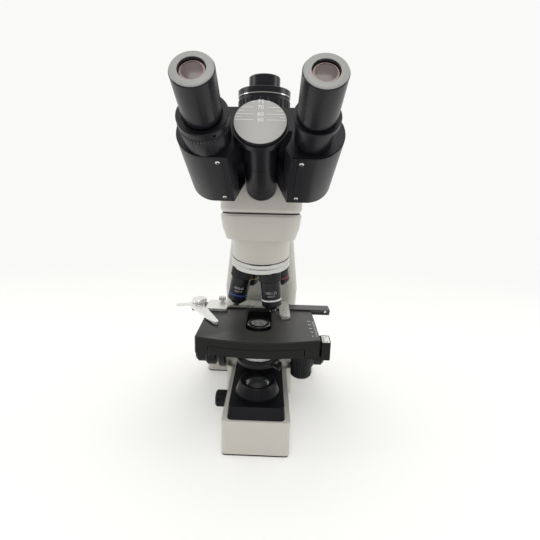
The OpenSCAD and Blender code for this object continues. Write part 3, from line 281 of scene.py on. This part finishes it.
def surface_material(name, base, rough=0.4, metallic=0.0, mottle=0.06, mottle_size=9.0,
                     grain=0.0, grain_size=2200.0, rough_spread=0.06, coat=0.0, brushed=None,
                     transmission=0.0, specular=0.5):
    """A procedural finish on Object coordinates: a slow noise shifts the colour, a middle noise
    shifts the roughness, and a fine noise raises the grain. brushed stretches the grain along
    an axis ('x', 'y' or 'z')."""
    mat = bpy.data.materials.new(name)
    mat.use_nodes = True
    nodes, links = mat.node_tree.nodes, mat.node_tree.links
    shader = nodes["Principled BSDF"]
    shader.inputs["Metallic"].default_value = metallic
    shader.inputs["Coat Weight"].default_value = coat
    shader.inputs["Transmission Weight"].default_value = transmission
    shader.inputs["Specular IOR Level"].default_value = specular
    where = nodes.new("ShaderNodeTexCoord")

    def noise(scale, detail, stretch=None):
        tex = nodes.new("ShaderNodeTexNoise")
        tex.inputs["Scale"].default_value = scale
        tex.inputs["Detail"].default_value = detail
        if stretch:
            mapping = nodes.new("ShaderNodeMapping")
            mapping.inputs["Scale"].default_value = stretch
            links.new(where.outputs["Object"], mapping.inputs["Vector"])
            links.new(mapping.outputs["Vector"], tex.inputs["Vector"])
        else:
            links.new(where.outputs["Object"], tex.inputs["Vector"])
        return tex

    slow = noise(mottle_size, 4.0)
    mix = nodes.new("ShaderNodeMix")
    mix.data_type = "RGBA"
    mix.inputs["A"].default_value = (*[c * (1 - mottle) for c in base], 1)
    mix.inputs["B"].default_value = (*[min(1.0, c * (1 + mottle)) for c in base], 1)
    links.new(slow.outputs["Fac"], mix.inputs["Factor"])
    links.new(mix.outputs["Result"], shader.inputs["Base Color"])
    middle = noise(160.0, 3.0)
    spread = nodes.new("ShaderNodeMapRange")
    spread.inputs["To Min"].default_value = max(0.02, rough - rough_spread)
    spread.inputs["To Max"].default_value = min(1.0, rough + rough_spread)
    links.new(middle.outputs["Fac"], spread.inputs["Value"])
    links.new(spread.outputs["Result"], shader.inputs["Roughness"])
    if grain:
        stretch = None
        if brushed:
            stretch = tuple(0.03 if a == brushed else 1.0 for a in "xyz")
        fine = noise(grain_size, 2.0, stretch)
        bump = nodes.new("ShaderNodeBump")
        bump.inputs["Strength"].default_value = grain
        bump.inputs["Distance"].default_value = 0.0002
        links.new(fine.outputs["Fac"], bump.inputs["Height"])
        links.new(bump.outputs["Normal"], shader.inputs["Normal"])
    return mat


MATERIALS = {}


def finish(obj, node=None, body=None, slot=None, material=None):
    """Rides a piece on its body and gives it its finish: the one for its slot, unless another is named."""
    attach(obj, body or BODY_OF[node])
    slot = slot or SLOT_OF[node]
    obj.data.materials.clear()
    obj.data.materials.append(MATERIALS[material or slot])
    return obj


# ------------------------------------------------------------------ settings

class MicroscopeColours(bpy.types.PropertyGroup):
    """The colours and roughness of the main finishes."""

    casting: bpy.props.FloatVectorProperty(
        name="Castings", description="Paint of the white castings", subtype="COLOR",
        size=3, min=0, max=1, default=(0.545, 0.525, 0.48))
    black_metal: bpy.props.FloatVectorProperty(
        name="Black metal", description="Finish of the head and the eyepieces", subtype="COLOR",
        size=3, min=0, max=1, default=(0.007, 0.007, 0.010))
    stage_black: bpy.props.FloatVectorProperty(
        name="Stage", description="Coat of the stage plates", subtype="COLOR",
        size=3, min=0, max=1, default=(0.027, 0.027, 0.026))
    scale_grey: bpy.props.FloatVectorProperty(
        name="Scale disc", description="Face of the scale disc", subtype="COLOR",
        size=3, min=0, max=1, default=(0.40, 0.39, 0.37))


class MicroscopeSizes(bpy.types.PropertyGroup):
    """Sizes of the details that the CAD model leaves plain."""

    edge_round: bpy.props.FloatProperty(
        name="Casting edges", description="Rounding of the castings' edges",
        unit="LENGTH", subtype="DISTANCE", min=0.0002, max=0.003, default=0.0012)
    print_height: bpy.props.FloatProperty(
        name="Print thickness", description="Thickness of printed marks",
        unit="LENGTH", subtype="DISTANCE", min=0.00002, max=0.0003, default=0.00008)


# ------------------------------------------------------------------ operators

class MICROSCOPE_OT_studio(bpy.types.Operator):
    """Sets the floor, the soft lights and the camera"""
    bl_idname = "microscope.studio"
    bl_label = "Studio"

    # the camera: its place in metres, its angles in degrees, its lens and sensor in
    # millimetres, its shift in sensor widths
    camera_place = (0.00867, -0.36569, 0.27678)
    yaw, pitch, roll = -1.33, 12.18, 1.39
    lens, sensor, shift = 23.748667, 36.0, (0.0175926, -0.0074074)
    # the far tone of the sheet, which the camera also sees behind it
    backdrop = (0.95, 0.95, 0.94, 1)
    floor_rings = (0.001, 0.3, 0.8, 1.6, 3.0, 6.0, 14.0)
    floor_steps = 64

    def execute(self, context):
        self.floor()
        self.lights()
        self.camera(context)
        return {"FINISHED"}

    def floor(self):
        """A flat disc: rings of points at growing distances from the origin. Its paper fades
        into an even glow between two distances from the origin."""
        rings, steps = np.array(self.floor_rings), self.floor_steps
        angle = np.arange(steps) * 2 * pi / steps
        grid = np.stack([rings[:, None] * np.cos(angle), rings[:, None] * np.sin(angle),
                         0 * rings[:, None] + 0 * angle], axis=-1).reshape(-1, 3)
        faces = [list(f) for f in grid_faces(len(rings), steps, wrap_cols=True)]
        faces.append(list(range(steps)))
        floor = recalculated(make_mesh("studio_floor", grid, faces))
        mat = bpy.data.materials.new("floor sheet")
        mat.use_nodes = True
        nodes, links = mat.node_tree.nodes, mat.node_tree.links
        paper = nodes["Principled BSDF"]
        paper.inputs["Roughness"].default_value = 0.9
        paper.inputs["Specular IOR Level"].default_value = 0.1
        paper.inputs["Emission Color"].default_value = (1, 1, 0.985, 1)
        paper.inputs["Emission Strength"].default_value = 0.14
        where = nodes.new("ShaderNodeTexCoord")
        fibre = nodes.new("ShaderNodeTexNoise")
        fibre.inputs["Scale"].default_value = 3.0
        tone = nodes.new("ShaderNodeMix")
        tone.data_type = "RGBA"
        tone.inputs["A"].default_value = (0.80, 0.80, 0.785, 1)
        tone.inputs["B"].default_value = (0.84, 0.84, 0.825, 1)
        links.new(where.outputs["Object"], fibre.inputs["Vector"])
        links.new(fibre.outputs["Fac"], tone.inputs["Factor"])
        links.new(tone.outputs["Result"], paper.inputs["Base Color"])
        length = nodes.new("ShaderNodeVectorMath")
        length.operation = "LENGTH"
        fade = nodes.new("ShaderNodeMapRange")
        fade.interpolation_type = "SMOOTHSTEP"
        fade.inputs["From Min"].default_value = 0.30
        fade.inputs["From Max"].default_value = 1.5
        glow = nodes.new("ShaderNodeEmission")
        glow.inputs["Color"].default_value = self.backdrop
        mix = nodes.new("ShaderNodeMixShader")
        links.new(where.outputs["Object"], length.inputs[0])
        links.new(length.outputs["Value"], fade.inputs["Value"])
        links.new(fade.outputs["Result"], mix.inputs["Fac"])
        links.new(paper.outputs["BSDF"], mix.inputs[1])
        links.new(glow.outputs["Emission"], mix.inputs[2])
        links.new(mix.outputs["Shader"], nodes["Material Output"].inputs["Surface"])
        floor.data.materials.append(mat)

    def lights(self):
        """The world is bright above and behind and dim in front, where the camera stands: its
        strength follows each direction's dot product with one sloping direction. The camera
        itself sees the backdrop's even tone."""
        world = bpy.data.worlds.new("studio")
        world.use_nodes = True
        nodes, links = world.node_tree.nodes, world.node_tree.links
        ground = nodes["Background"]
        seen = nodes.new("ShaderNodeBackground")
        seen.inputs["Color"].default_value = self.backdrop
        seen.inputs["Strength"].default_value = 1.0
        where = nodes.new("ShaderNodeTexCoord")
        slope = nodes.new("ShaderNodeVectorMath")
        slope.operation = "DOT_PRODUCT"
        slope.inputs[1].default_value = (0.0, 0.55, 0.83)
        level = nodes.new("ShaderNodeMapRange")
        level.inputs["From Min"].default_value = -0.6
        level.inputs["From Max"].default_value = 0.75
        level.inputs["To Min"].default_value = 0.30
        level.inputs["To Max"].default_value = 0.98
        ray = nodes.new("ShaderNodeLightPath")
        mix = nodes.new("ShaderNodeMixShader")
        links.new(where.outputs["Generated"], slope.inputs[0])
        links.new(slope.outputs["Value"], level.inputs["Value"])
        links.new(level.outputs["Result"], ground.inputs["Strength"])
        ground.inputs["Color"].default_value = (1, 0.995, 0.975, 1)
        links.new(ray.outputs["Is Camera Ray"], mix.inputs["Fac"])
        links.new(ground.outputs["Background"], mix.inputs[1])
        links.new(seen.outputs["Background"], mix.inputs[2])
        links.new(mix.outputs["Shader"], nodes["World Output"].inputs["Surface"])
        bpy.context.scene.world = world
        for name, at, aim, size, power in (
                ("ceiling", (0.0, -1.05, 1.55), (0, -0.1, 0.3), 0.9, 9.0),
                ("left", (-1.3, -0.1, 0.7), (0, 0, 0.2), 0.5, 2.2),
                ("right", (1.3, 0.0, 0.7), (0, 0, 0.2), 0.5, 2.2)):
            light = bpy.data.lights.new(name, "AREA")
            light.shape = "SQUARE"
            light.size = size
            light.energy = power
            obj = linked(name + "_light", light)
            obj.location = at
            obj.rotation_euler = (Vector(aim) - Vector(at)).to_track_quat("-Z", "Y").to_euler()
        bpy.context.scene.view_settings.view_transform = "Standard"

    def camera(self, context):
        """The view direction has yaw about the vertical and pitch below the horizon. right is
        level and up is right crossed with the view direction; roll then turns both about
        it."""
        yaw, pitch, roll = (radians(a) for a in (self.yaw, self.pitch, self.roll))
        ahead = Vector((sin(yaw) * cos(pitch), cos(yaw) * cos(pitch), -sin(pitch)))
        right = Vector((cos(yaw), -sin(yaw), 0))
        up = right.cross(ahead)
        right, up = right * cos(roll) + up * sin(roll), up * cos(roll) - right * sin(roll)
        data = bpy.data.cameras.new("camera")
        data.sensor_width = self.sensor
        data.lens = self.lens
        data.shift_x, data.shift_y = self.shift
        data.clip_start = 0.01
        camera = linked("camera", data)
        turn = Matrix((right, up, -ahead)).transposed().to_4x4()
        camera.matrix_world = Matrix.Translation(self.camera_place) @ turn
        context.scene.camera = camera


class MICROSCOPE_OT_finishes(bpy.types.Operator):
    """Makes every finish and gives it to the CAD nodes"""
    bl_idname = "microscope.finishes"
    bl_label = "Finishes"

    def execute(self, context):
        c = context.scene.microscope_colours
        casting, black = tuple(c.casting), tuple(c.black_metal)
        stage, scale = tuple(c.stage_black), tuple(c.scale_grey)
        add = surface_material
        M = MATERIALS
        M["white_paint"] = add("warm white paint", casting, 0.34, grain=0.05, grain_size=900,
                               mottle=0.02, coat=0.1)
        M["cover_black"] = add("black moulding", (0.005, 0.005, 0.007), 0.36, grain=0.1,
                               specular=0.17)
        M["sheet_metal"] = add("zinc plated sheet", (0.55, 0.55, 0.56), 0.35, metallic=1.0,
                               grain=0.1, brushed="y")
        M["rubber"] = add("foot rubber", (0.012, 0.012, 0.012), 0.75, grain=0.2)
        M["steel"] = add("plated screws", (0.62, 0.61, 0.59), 0.24, metallic=1.0, grain=0.05)
        M["lens_glass"] = add("lens glass", (0.75, 0.78, 0.78), 0.03, transmission=0.85,
                              rough_spread=0.01, mottle=0.01)
        M["coated_glass"] = add("coated eye lens", (0.085, 0.055, 0.05), 0.24, rough_spread=0.04,
                                mottle=0.45, mottle_size=90, coat=0.2)
        M["black_plastic"] = add("black plastic", (0.007, 0.007, 0.009), 0.4, grain=0.15,
                                 specular=0.2)
        M["knob_black"] = add("ridged black", (0.008, 0.008, 0.011), 0.36, grain=0.08,
                              specular=0.28)
        M["satin_black"] = add("satin black metal", (0.008, 0.008, 0.010), 0.34, grain=0.08,
                               specular=0.28)
        # painted shade: every stage face except the top takes the stage colour at 0.35. The faces that look up
        # take it whole as painted top light, with mottled wear
        M["stage_black"] = add("shaded stage coat", tuple(0.35 * v for v in stage), 0.36, grain=0.10,
                               grain_size=1500, specular=0.16)
        M["stage_top"] = add("stage top painted light and wear", stage, 0.40, grain=0.10, grain_size=1500,
                             mottle=0.12, mottle_size=22)
        M["dark_grey"] = add("dark anodised", (0.05, 0.05, 0.052), 0.35, metallic=0.5, grain=0.1,
                             brushed="x")
        M["bright_steel"] = add("satin steel", (0.80, 0.80, 0.77), 0.28, metallic=0.7,
                                grain=0.015, brushed="x")
        M["chrome"] = add("chrome plate", (0.50, 0.50, 0.49), 0.15, metallic=1.0, mottle=0.02)
        M["barrel_chrome"] = add("satin chrome", (0.92, 0.92, 0.90), 0.42, metallic=0.35,
                                 mottle=0.02)
        M["objective_black"] = add("black lacquer", (0.007, 0.007, 0.010), 0.26, grain=0.04,
                                   specular=0.3)
        M["head_black"] = add("head coat", black, 0.33, grain=0.05, grain_size=1800,
                              specular=0.24)
        M["eyepiece_black"] = add("eyepiece coat", black, 0.26, grain=0.02, specular=0.30)
        M["scale_grey"] = add("scale face", scale, 0.38, metallic=0.0, grain=0.05, mottle=0.02)
        # painted glare: the black anodised rims are given a pale grey that stands for the lamp they reflect
        M["rim_glare_grey"] = add("eyepiece rim painted glare", (0.31, 0.31, 0.30), 0.42, grain=0.03, mottle=0.03)
        M["lens_edge"] = add("lens edge", (0.62, 0.45, 0.41), 0.25, mottle=0.15, mottle_size=80)
        M["white_print"] = add("white print", (0.80, 0.80, 0.78), 0.5, mottle=0.03)
        M["faint_print"] = add("grey print", (0.42, 0.42, 0.42), 0.5, mottle=0.05)
        M["field_glass"] = add("field lens", (0.045, 0.05, 0.048), 0.06, rough_spread=0.02,
                               specular=0.8, coat=0.5, mottle=0.2, mottle_size=50)
        for band, tint in (("red_band", (0.28, 0.015, 0.015)), ("yellow_band", (0.35, 0.26, 0.02)),
                           ("blue_band", (0.012, 0.045, 0.22)), ("white_band", (0.78, 0.78, 0.76))):
            M[band] = add(band.replace("_", " ") + " enamel", tint, 0.3, mottle=0.05)
        for node, obj in frame["nodes"].items():
            obj.data.materials.clear()
            obj.data.materials.append(M[SLOT_OF[node]])
        frame["nodes"]["condenser_housing"].data.materials[0] = M["barrel_chrome"]
        return {"FINISHED"}


class MICROSCOPE_OT_castings(bpy.types.Operator):
    """Rounds the edges of the castings and covers"""
    bl_idname = "microscope.castings"
    bl_label = "Castings"

    def execute(self, context):
        edge = context.scene.microscope_sizes.edge_round / MM
        refined("base_frame", "base_casting", edge, 3)
        refined("arm", "arm_casting", edge, 3, angle=25)
        refined("head_housing", "head_casting", edge, 3, angle=28)
        refined("nosepiece_body", "nosepiece_casting", 0.4)
        refined("base_top_cover", "base_cover", 0.8, 3)
        return {"FINISHED"}


class MICROSCOPE_OT_head(bpy.types.Operator):
    """Finishes the wings, their covers and screws, the scale disc and the photo tube"""
    bl_idname = "microscope.head"
    bl_label = "Head"

    # eye distances on the disc with the heights of their lines, the disc's dark border,
    # half a line's width, how far the face stands above the disc
    eye_distances = ((75, 16.6), (70, 11.9), (65, 8.9), (60, 6.0), (55, 3.6), (50, 1.2))
    border, half_line, proud = 1.1, 0.16, 0.03
    # the pocket between the left wing's arcs about the hinge: their radii
    pocket_inner, pocket_outer = 14.3, 23.0

    def execute(self, context):
        refined("left_wing", "left_wing_body", 0.45)
        refined("right_wing", "right_wing_body", 0.45)
        refined("left_wing_cover", "left_cover", 0.4)
        refined("right_wing_cover", "right_cover", 0.4)
        refined("hinge_post", "hinge_post_body", 0.25)
        disc = refined("scale_disc", "scale_disc_body", 0.25)
        disc.data.materials[0] = MATERIALS["head_black"]
        self.screws()
        self.pocket_floor()
        self.scale(context)
        self.tube_line()
        return {"FINISHED"}

    def screws(self):
        """Button heads over the four cover screws: a low dome with a round socket."""
        profile = [(0, 0.2), (0.62, 0.2), (0.7, 0.66), (1.1, 0.68), (1.55, 0.45), (1.78, 0.1),
                   (1.8, -0.1), (0, -0.1)]
        for side in ("left", "right"):
            low, high = span(side + "_wing_cover", HEAD)
            u = -30.0 if side == "left" else 30.0
            for number, s in enumerate((high[2] - 5.0, low[2] + 6.0)):
                seat = HEAD.shifted(u, low[1], s)
                head = Axes(seat.place([[0, 0.5 * MM, 0]])[0], seat.x, -seat.y)
                piece = lathe(f"{side}_cover_screw_{number + 1}", profile, head, 32)
                finish(piece, body=side + "_half", slot="steel")

    def pocket_floor(self):
        """The floor of the left wing's pocket: two arcs about the hinge, joined by straight
        sides along the wing's inner face and its middle plane."""
        bottom = span("left_wing", HEAD)[0][2]
        inner = np.radians(np.linspace(197, 179, 8))
        outer = np.radians(np.linspace(179, 217, 12))
        outline = np.concatenate(
            [self.pocket_inner * np.column_stack([np.cos(inner), np.sin(inner)]),
             self.pocket_outer * np.column_stack([np.cos(outer), np.sin(outer)])])
        floor = plate("left_pocket_floor", outline, bottom + 0.9, bottom + 4.0, HEAD)
        finish(floor, body="left_half", slot=SLOT_OF["left_wing"])

    def scale(self, context):
        """Lines across the disc at the eye distances, with numerals between them. A line at
        height v ends on the scale's circle, where x squared is radius squared less v
        squared."""
        thick = context.scene.microscope_sizes.print_height
        low, high = span("scale_disc", HEAD)
        top = high[2] + self.proud
        face = HEAD.shifted(z=top)
        r = (high[0] - low[0]) / 2 - self.border
        radius = r - self.border
        marks = []
        for value, v in self.eye_distances:
            numbered = value % 10 == 0 or value == 75
            edge = (radius ** 2 - v ** 2) ** 0.5
            inner = 4.6 if numbered else edge - 4.0
            for sign in (-1, 1):
                a, b = sorted((sign * inner, sign * edge))
                line = box_outline(a, b, v - self.half_line, v + self.half_line)
                marks.append(plate("line", line, 0, thick / MM, face))
            if numbered:
                marks.append(printed("numeral", str(value), 4.5, thick,
                                     face.shifted(0, v, thick / MM / 2)))
        finish(joined("disc_scale", marks), body="head", slot="scale_grey",
               material="white_print")
        profile = [(0, top), (r - 0.75, top), (r - 0.55, high[2] - 0.05),
                   (r - 0.9, high[2] - 0.3), (0, high[2] - 0.3)]
        finish(lathe("disc_face", profile, HEAD, 128), body="head", slot="scale_grey")

    def tube_line(self):
        """A bright line round the photo tube's rim: a small closed profile, revolved."""
        high = span("photo_tube", WORLD)[1]
        r, z = high[0], high[2] - 6.1
        profile = [(r - 1.2, z - 0.1), (r + 0.06, z - 0.1), (r + 0.1, z + 0.3),
                   (r + 0.06, z + 0.7), (r - 1.2, z + 0.7)]
        finish(lathe("photo_tube_line", profile, WORLD, 128, closed=True), body="head",
               slot="chrome")


class MICROSCOPE_OT_eyepieces(bpy.types.Operator):
    """Makes the eyepieces' rims, pale grey as painted glare on their black metal, and the bevelled edges of their
    lenses
    """
    bl_idname = "microscope.eyepieces"
    bl_label = "Eyepieces"

    def execute(self, context):
        for side in ("left", "right"):
            axes = eye_axes(side)
            high = span(side + "_eyepiece", axes)[1]
            r, top = high[0], high[2]
            rim = [(8.3, top - 0.3), (8.4, top + 0.03), (r - 1.5, top + 0.03),
                   (r - 0.85, top - 0.27), (r - 0.5, top - 0.62), (r - 1.4, top - 0.6),
                   (9.4, top - 0.5)]
            # pale grey rim: painted glare
            finish(lathe(side + "_rim", rim, axes, 128, closed=True), body=side + "_eye",
                   slot="eyepiece_black", material="rim_glare_grey")
            # eye lens: a spherical cap over a bevelled edge
            low, high = span(side + "_eye_lens", axes)
            crown = high[2] + 0.6
            a = np.linspace(0, 1, 12)
            cap = np.column_stack([6.5 * a, crown - 0.5 * a ** 2])
            base = [(6.6, crown - 2.8), (6.6, low[2]), (0, low[2])]
            lens = lathe(side + "_lens", np.concatenate([cap, base]), axes, 96)
            finish(lens, side + "_eye_lens")
            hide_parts(side + "_eye_lens")
            edge = [(6.52, crown - 0.48), (7.45, crown - 1.0), (7.65, crown - 1.25),
                    (7.65, crown - 2.6), (6.55, crown - 2.6)]
            finish(lathe(side + "_lens_edge", edge, axes, 96, closed=True), body=side + "_eye",
                   slot="coated_glass", material="lens_edge")
            seat = [(7.67, crown - 1.3), (7.97, crown - 1.3), (7.97, crown - 2.6),
                    (7.67, crown - 2.6)]
            finish(lathe(side + "_lens_seat", seat, axes, 96, closed=True), body=side + "_eye",
                   slot="eyepiece_black")
        return {"FINISHED"}


class MICROSCOPE_OT_objectives(bpy.types.Operator):
    """Makes the coloured bands and the numerals of the four objectives"""
    bl_idname = "microscope.objectives"
    bl_label = "Objectives"

    # node, degrees from the 100x one, length, collar radius, band, two lines of print
    kinds = (("objective_100x", 0, 44.8, 10.8, "white_band", ("100/1.25", "160/0.17")),
             ("objective_4x", 90, 27.0, 10.7, "red_band", ("4/0.10", "160/-")),
             ("objective_10x", 180, 36.0, 10.6, "yellow_band", ("10/0.25", "160/0.17")),
             ("objective_40x", 270, 44.8, 10.6, "blue_band", ("40/0.65", "160/0.17")))
    # the shoulder's depth under the top; the band's place as a share of the length; a
    # barrel shorter than `short` has its print lower by `drop`
    neck, band_share, short, drop = 5.0, 0.64, 30, 3.0

    def execute(self, context):
        thick = context.scene.microscope_sizes.print_height
        for node, turn, length, r, band, lines in self.kinds:
            axes = objective_axes(turn)
            shoulder = axes.shifted(z=span(node, axes)[1][2] - self.neck)
            z = -length * self.band_share
            profile = [(r - 0.6, z - 1.55), (r - 0.1, z - 1.55), (r - 0.02, z - 1.4),
                       (r - 0.02, z + 0.1), (r - 0.1, z + 0.25), (r - 0.6, z + 0.25)]
            finish(lathe(node + "_band", profile, shoulder, 96, closed=True), body="turret",
                   slot="objective_black", material=band)
            away = self.outward(axes, shoulder, turn)
            marks = []
            for text, size, up in ((lines[0], 3.7, 8.2), (lines[1], 2.5, 4.6)):
                if length < self.short:
                    up -= self.drop
                at = shoulder.shifted(z=z + up)
                origin = at.origin + away * r * MM
                letters = Axes(origin, np.cross(shoulder.z, away), away)
                marks.append(printed("letters", text, size, thick, letters, wrap_r=r))
            finish(joined(node + "_print", marks), body="turret", slot="objective_black",
                   material="faint_print")
        return {"FINISHED"}

    def outward(self, axes, shoulder, turn):
        """The unit direction in which the printing faces: away from the turret's axis, or to
        the front on the two front objectives, without its part along the barrel."""
        away = shoulder.origin - axes.origin
        axis = np.array(JOINTS["turret_turn"]["axis"])
        away = away - axis * np.dot(away, axis)
        if turn in (0, 270):
            away = np.array([0.0, -1.0, 0.0])
        away = away - shoulder.z * np.dot(away, shoulder.z)
        return away / np.linalg.norm(away)


class MICROSCOPE_OT_stage(bpy.types.Operator):
    """Finishes the stage plates, the slide holder and their printed scales"""
    bl_idname = "microscope.stage"
    bl_label = "Stage"

    def execute(self, context):
        # the plate's upward faces get painted top light
        self.wear(refined("stage_upper_plate", "stage_plate", 0.3).data)
        refined("stage_lower_plate", "stage_under_plate", 0.3)
        refined("vernier_bracket", "vernier_block", 0.4)
        refined("holder_carriage", "carriage_bar", 0.3)
        refined("holder_bar", "bright_holder", 0.15)
        refined("spring_finger", "bright_finger", 0.12)
        thick = context.scene.microscope_sizes.print_height
        self.stage_scale(thick)
        self.vernier(thick)
        self.end_screw()
        return {"FINISHED"}

    def wear(self, mesh):
        """Gives the faces that look up the stage's top finish: painted top light, the full stage colour against
        the darker shaded copy on every other face, with mottled wear.
        """
        mesh.materials.append(MATERIALS["stage_top"])
        normals = np.zeros(len(mesh.polygons) * 3)
        mesh.polygons.foreach_get("normal", normals)
        upward = normals.reshape(-1, 3)[:, 2] > 0.9
        mesh.polygons.foreach_set("material_index", upward.astype(np.int32))

    def stage_scale(self, thick):
        """A tick for each millimetre along the plate's right edge and a numeral at each ten."""
        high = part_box("stage_upper_plate")[1]
        top = WORLD.shifted(z=high[2] / MM)
        x, first = high[0] / MM, -40.0
        marks = [printed("numeral", str(value), 3.4, thick,
                         top.shifted(x - 6.9, first + value, thick / MM / 2))
                 for value in range(0, 50, 10)]
        for value in range(41):
            y = first + value
            reach = 1.6 if value % 5 else 2.6
            marks.append(plate("tick", box_outline(x - 1.6 - reach, x - 1.6, y - 0.1, y + 0.1),
                               0, thick / MM, top))
        finish(joined("stage_scale", marks), body="stage_table", slot="stage_black",
               material="white_print")

    def end_screw(self):
        """The screw in the front face of the carriage bar's right end."""
        low, high = span("holder_carriage", WORLD)
        seat = Axes(np.array([high[0] - 5.5, low[1] + 0.02, high[2] - 1.9]) * MM, (1, 0, 0),
                    (0, -1, 0))
        profile = [(0, 0.03), (0.55, 0.03), (0.62, 0.17), (1.1, 0.17), (1.45, 0.03),
                   (1.45, -0.1), (0, -0.1)]
        finish(lathe("carriage_end_screw", profile, seat, 32), body=BODY_OF["holder_carriage"],
               slot="steel")

    def vernier(self, thick):
        """Eleven short lines on the block's bright top plate."""
        low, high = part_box("vernier_bracket")
        x0, x1, y0, y1 = (c / MM for c in (low[0], high[0], low[1], high[1]))
        slope = Axes((0, y1 * MM, high[2]), (1, 0, 0), (0, -sin(radians(10)), cos(radians(10))))
        outline = box_outline(x0 + 0.9, x1 - 0.9, -(y1 - y0) + 0.9, -0.9)
        finish(plate("vernier_plate", outline, 0, 0.12, slope), body="stage_base",
               slot="stage_black", material="bright_steel")
        marks = [plate("tick", box_outline(x0 + 1.2, x0 + (3.4 if k % 5 else 4.6),
                                           -12.4 + 1.08 * k, -12.2 + 1.08 * k),
                       0.12, 0.12 + thick / MM, slope) for k in range(11)]
        marks.append(printed("numeral", "0", 2.6, thick, slope.shifted(x1 - 3.4, -11.6, 0.16)))
        marks.append(printed("numeral", "10", 2.6, thick, slope.shifted(x1 - 3.4, -2.9, 0.16)))
        finish(joined("vernier_marks", marks), body="stage_base", slot="stage_black",
               material="cover_black")


class MICROSCOPE_OT_substage(bpy.types.Operator):
    """Makes the condenser's black top with its rings, and the field lens in the base"""
    bl_idname = "microscope.substage"
    bl_label = "Substage and field lens"

    def execute(self, context):
        top = span("condenser_housing", WORLD)[1][2]
        cone = [(16.53, top - 16.2), (16.53, top - 10.6), (13.24, top - 4.98),
                (13.24, top - 1.2), (12.84, top - 0.66), (11.2, top - 0.42), (10.9, top - 0.9),
                (12.3, top - 1.6), (12.6, top - 5.5), (15.9, top - 11.0), (15.9, top - 16.2)]
        finish(lathe("condenser_cone", cone, WORLD, 128, closed=True), body="condenser",
               slot="satin_black")
        ring = [(12.86, top - 0.66), (12.3, top - 0.42), (11.6, top - 0.36), (11.6, top - 0.8),
                (12.8, top - 1.0)]
        finish(lathe("condenser_bright_ring", ring, WORLD, 128, closed=True), body="condenser",
               slot="steel")
        inner = [(11.3, top - 0.34), (8.3, top + 0.04), (7.55, top - 0.55), (7.5, top - 1.4),
                 (11.2, top - 1.2)]
        finish(lathe("condenser_inner_ring", inner, WORLD, 128, closed=True), body="condenser",
               slot="satin_black")
        # field lens: a spherical cap in its mount
        low, high = span("collector_lens", WORLD)
        r = high[0]
        a = np.linspace(0, 1, 14)
        cap = np.column_stack([r * a, high[2] - 2.6 * a ** 2])
        lens = lathe("field_lens", np.concatenate([cap, [(r, low[2]), (0, low[2])]]), WORLD, 96)
        finish(lens, "collector_lens", material="field_glass")
        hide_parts("collector_lens")
        refined("collector_housing", "field_lens_mount", 0.25)
        refined("condenser_carrier", "condenser_carrier_body", 0.3)
        refined("stage_bracket", "stage_bracket_body", 0.3)
        return {"FINISHED"}


class MICROSCOPE_OT_swivel_gap(bpy.types.Operator):
    """Makes a black plate that fills the gap between the head and the arm: painted shade, the dark line of the
    gap's shadow
    """
    bl_idname = "microscope.swivel_gap"
    bl_label = "Swivel gap"

    # overhang past the head's lowest edge, corner radius, and how far the plate reaches
    # below and above that edge
    proud, corner, below, above = 0.1, 13.0, 0.95, 1.0

    def execute(self, context):
        points = mesh_points(frame["nodes"]["head_housing"].data) / MM
        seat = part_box("arm")[1][2] / MM
        edge = points[(points[:, 2] > seat - 0.2) & (np.abs(points[:, 0]) > 20)]
        edge = edge[edge[:, 2] < edge[:, 2].min() + 0.5]
        low = edge[:, 2].min()
        outline = self.outline(edge[:, 0].max() + self.proud, edge[:, 1].min() - self.proud,
                               edge[:, 1].max() + self.proud)
        # a black plate as painted shade in the gap
        shade_plate = plate("swivel_gap_shade", outline, low - self.below, low + self.above, WORLD)
        finish(shade_plate, body="head", slot="cover_black")
        return {"FINISHED"}

    def outline(self, x, y0, y1):
        """A rectangle from -x to x and y0 to y1 with rounded corners: each corner is a
        quarter circle."""
        angle = np.linspace(0, pi / 2, 9)
        right, back, front = x - self.corner, y1 - self.corner, y0 + self.corner
        arcs = []
        for k, (cx, cy) in enumerate(((right, back), (-right, back), (-right, front),
                                      (right, front))):
            turn = angle + k * pi / 2
            arcs.append(np.column_stack([cx + self.corner * np.cos(turn),
                                         cy + self.corner * np.sin(turn)]))
        return np.concatenate(arcs)


OPERATORS = (MICROSCOPE_OT_studio, MICROSCOPE_OT_finishes, MICROSCOPE_OT_castings,
             MICROSCOPE_OT_head, MICROSCOPE_OT_eyepieces, MICROSCOPE_OT_objectives,
             MICROSCOPE_OT_stage, MICROSCOPE_OT_substage, MICROSCOPE_OT_swivel_gap)


class MICROSCOPE_PT_panel(bpy.types.Panel):
    """Lists the microscope's makers"""
    bl_idname = "MICROSCOPE_PT_panel"
    bl_label = "Microscope"
    bl_space_type = "VIEW_3D"
    bl_region_type = "UI"
    bl_category = "Microscope"

    def draw(self, context):
        for group in (context.scene.microscope_colours, context.scene.microscope_sizes):
            for name in group.__annotations__:
                self.layout.prop(group, name)
        for maker in OPERATORS:
            self.layout.operator(maker.bl_idname)


CLASSES = (MicroscopeColours, MicroscopeSizes, *OPERATORS, MICROSCOPE_PT_panel)


def register():
    for c in CLASSES:
        bpy.utils.register_class(c)
    bpy.types.Scene.microscope_colours = bpy.props.PointerProperty(type=MicroscopeColours)
    bpy.types.Scene.microscope_sizes = bpy.props.PointerProperty(type=MicroscopeSizes)


def unregister():
    del bpy.types.Scene.microscope_sizes
    del bpy.types.Scene.microscope_colours
    for c in reversed(CLASSES):
        bpy.utils.unregister_class(c)


def main():
    register()
    for maker in OPERATORS:
        group, name = maker.bl_idname.split(".")
        getattr(getattr(bpy.ops, group), name)()


if __name__ == "__main__":
    main()
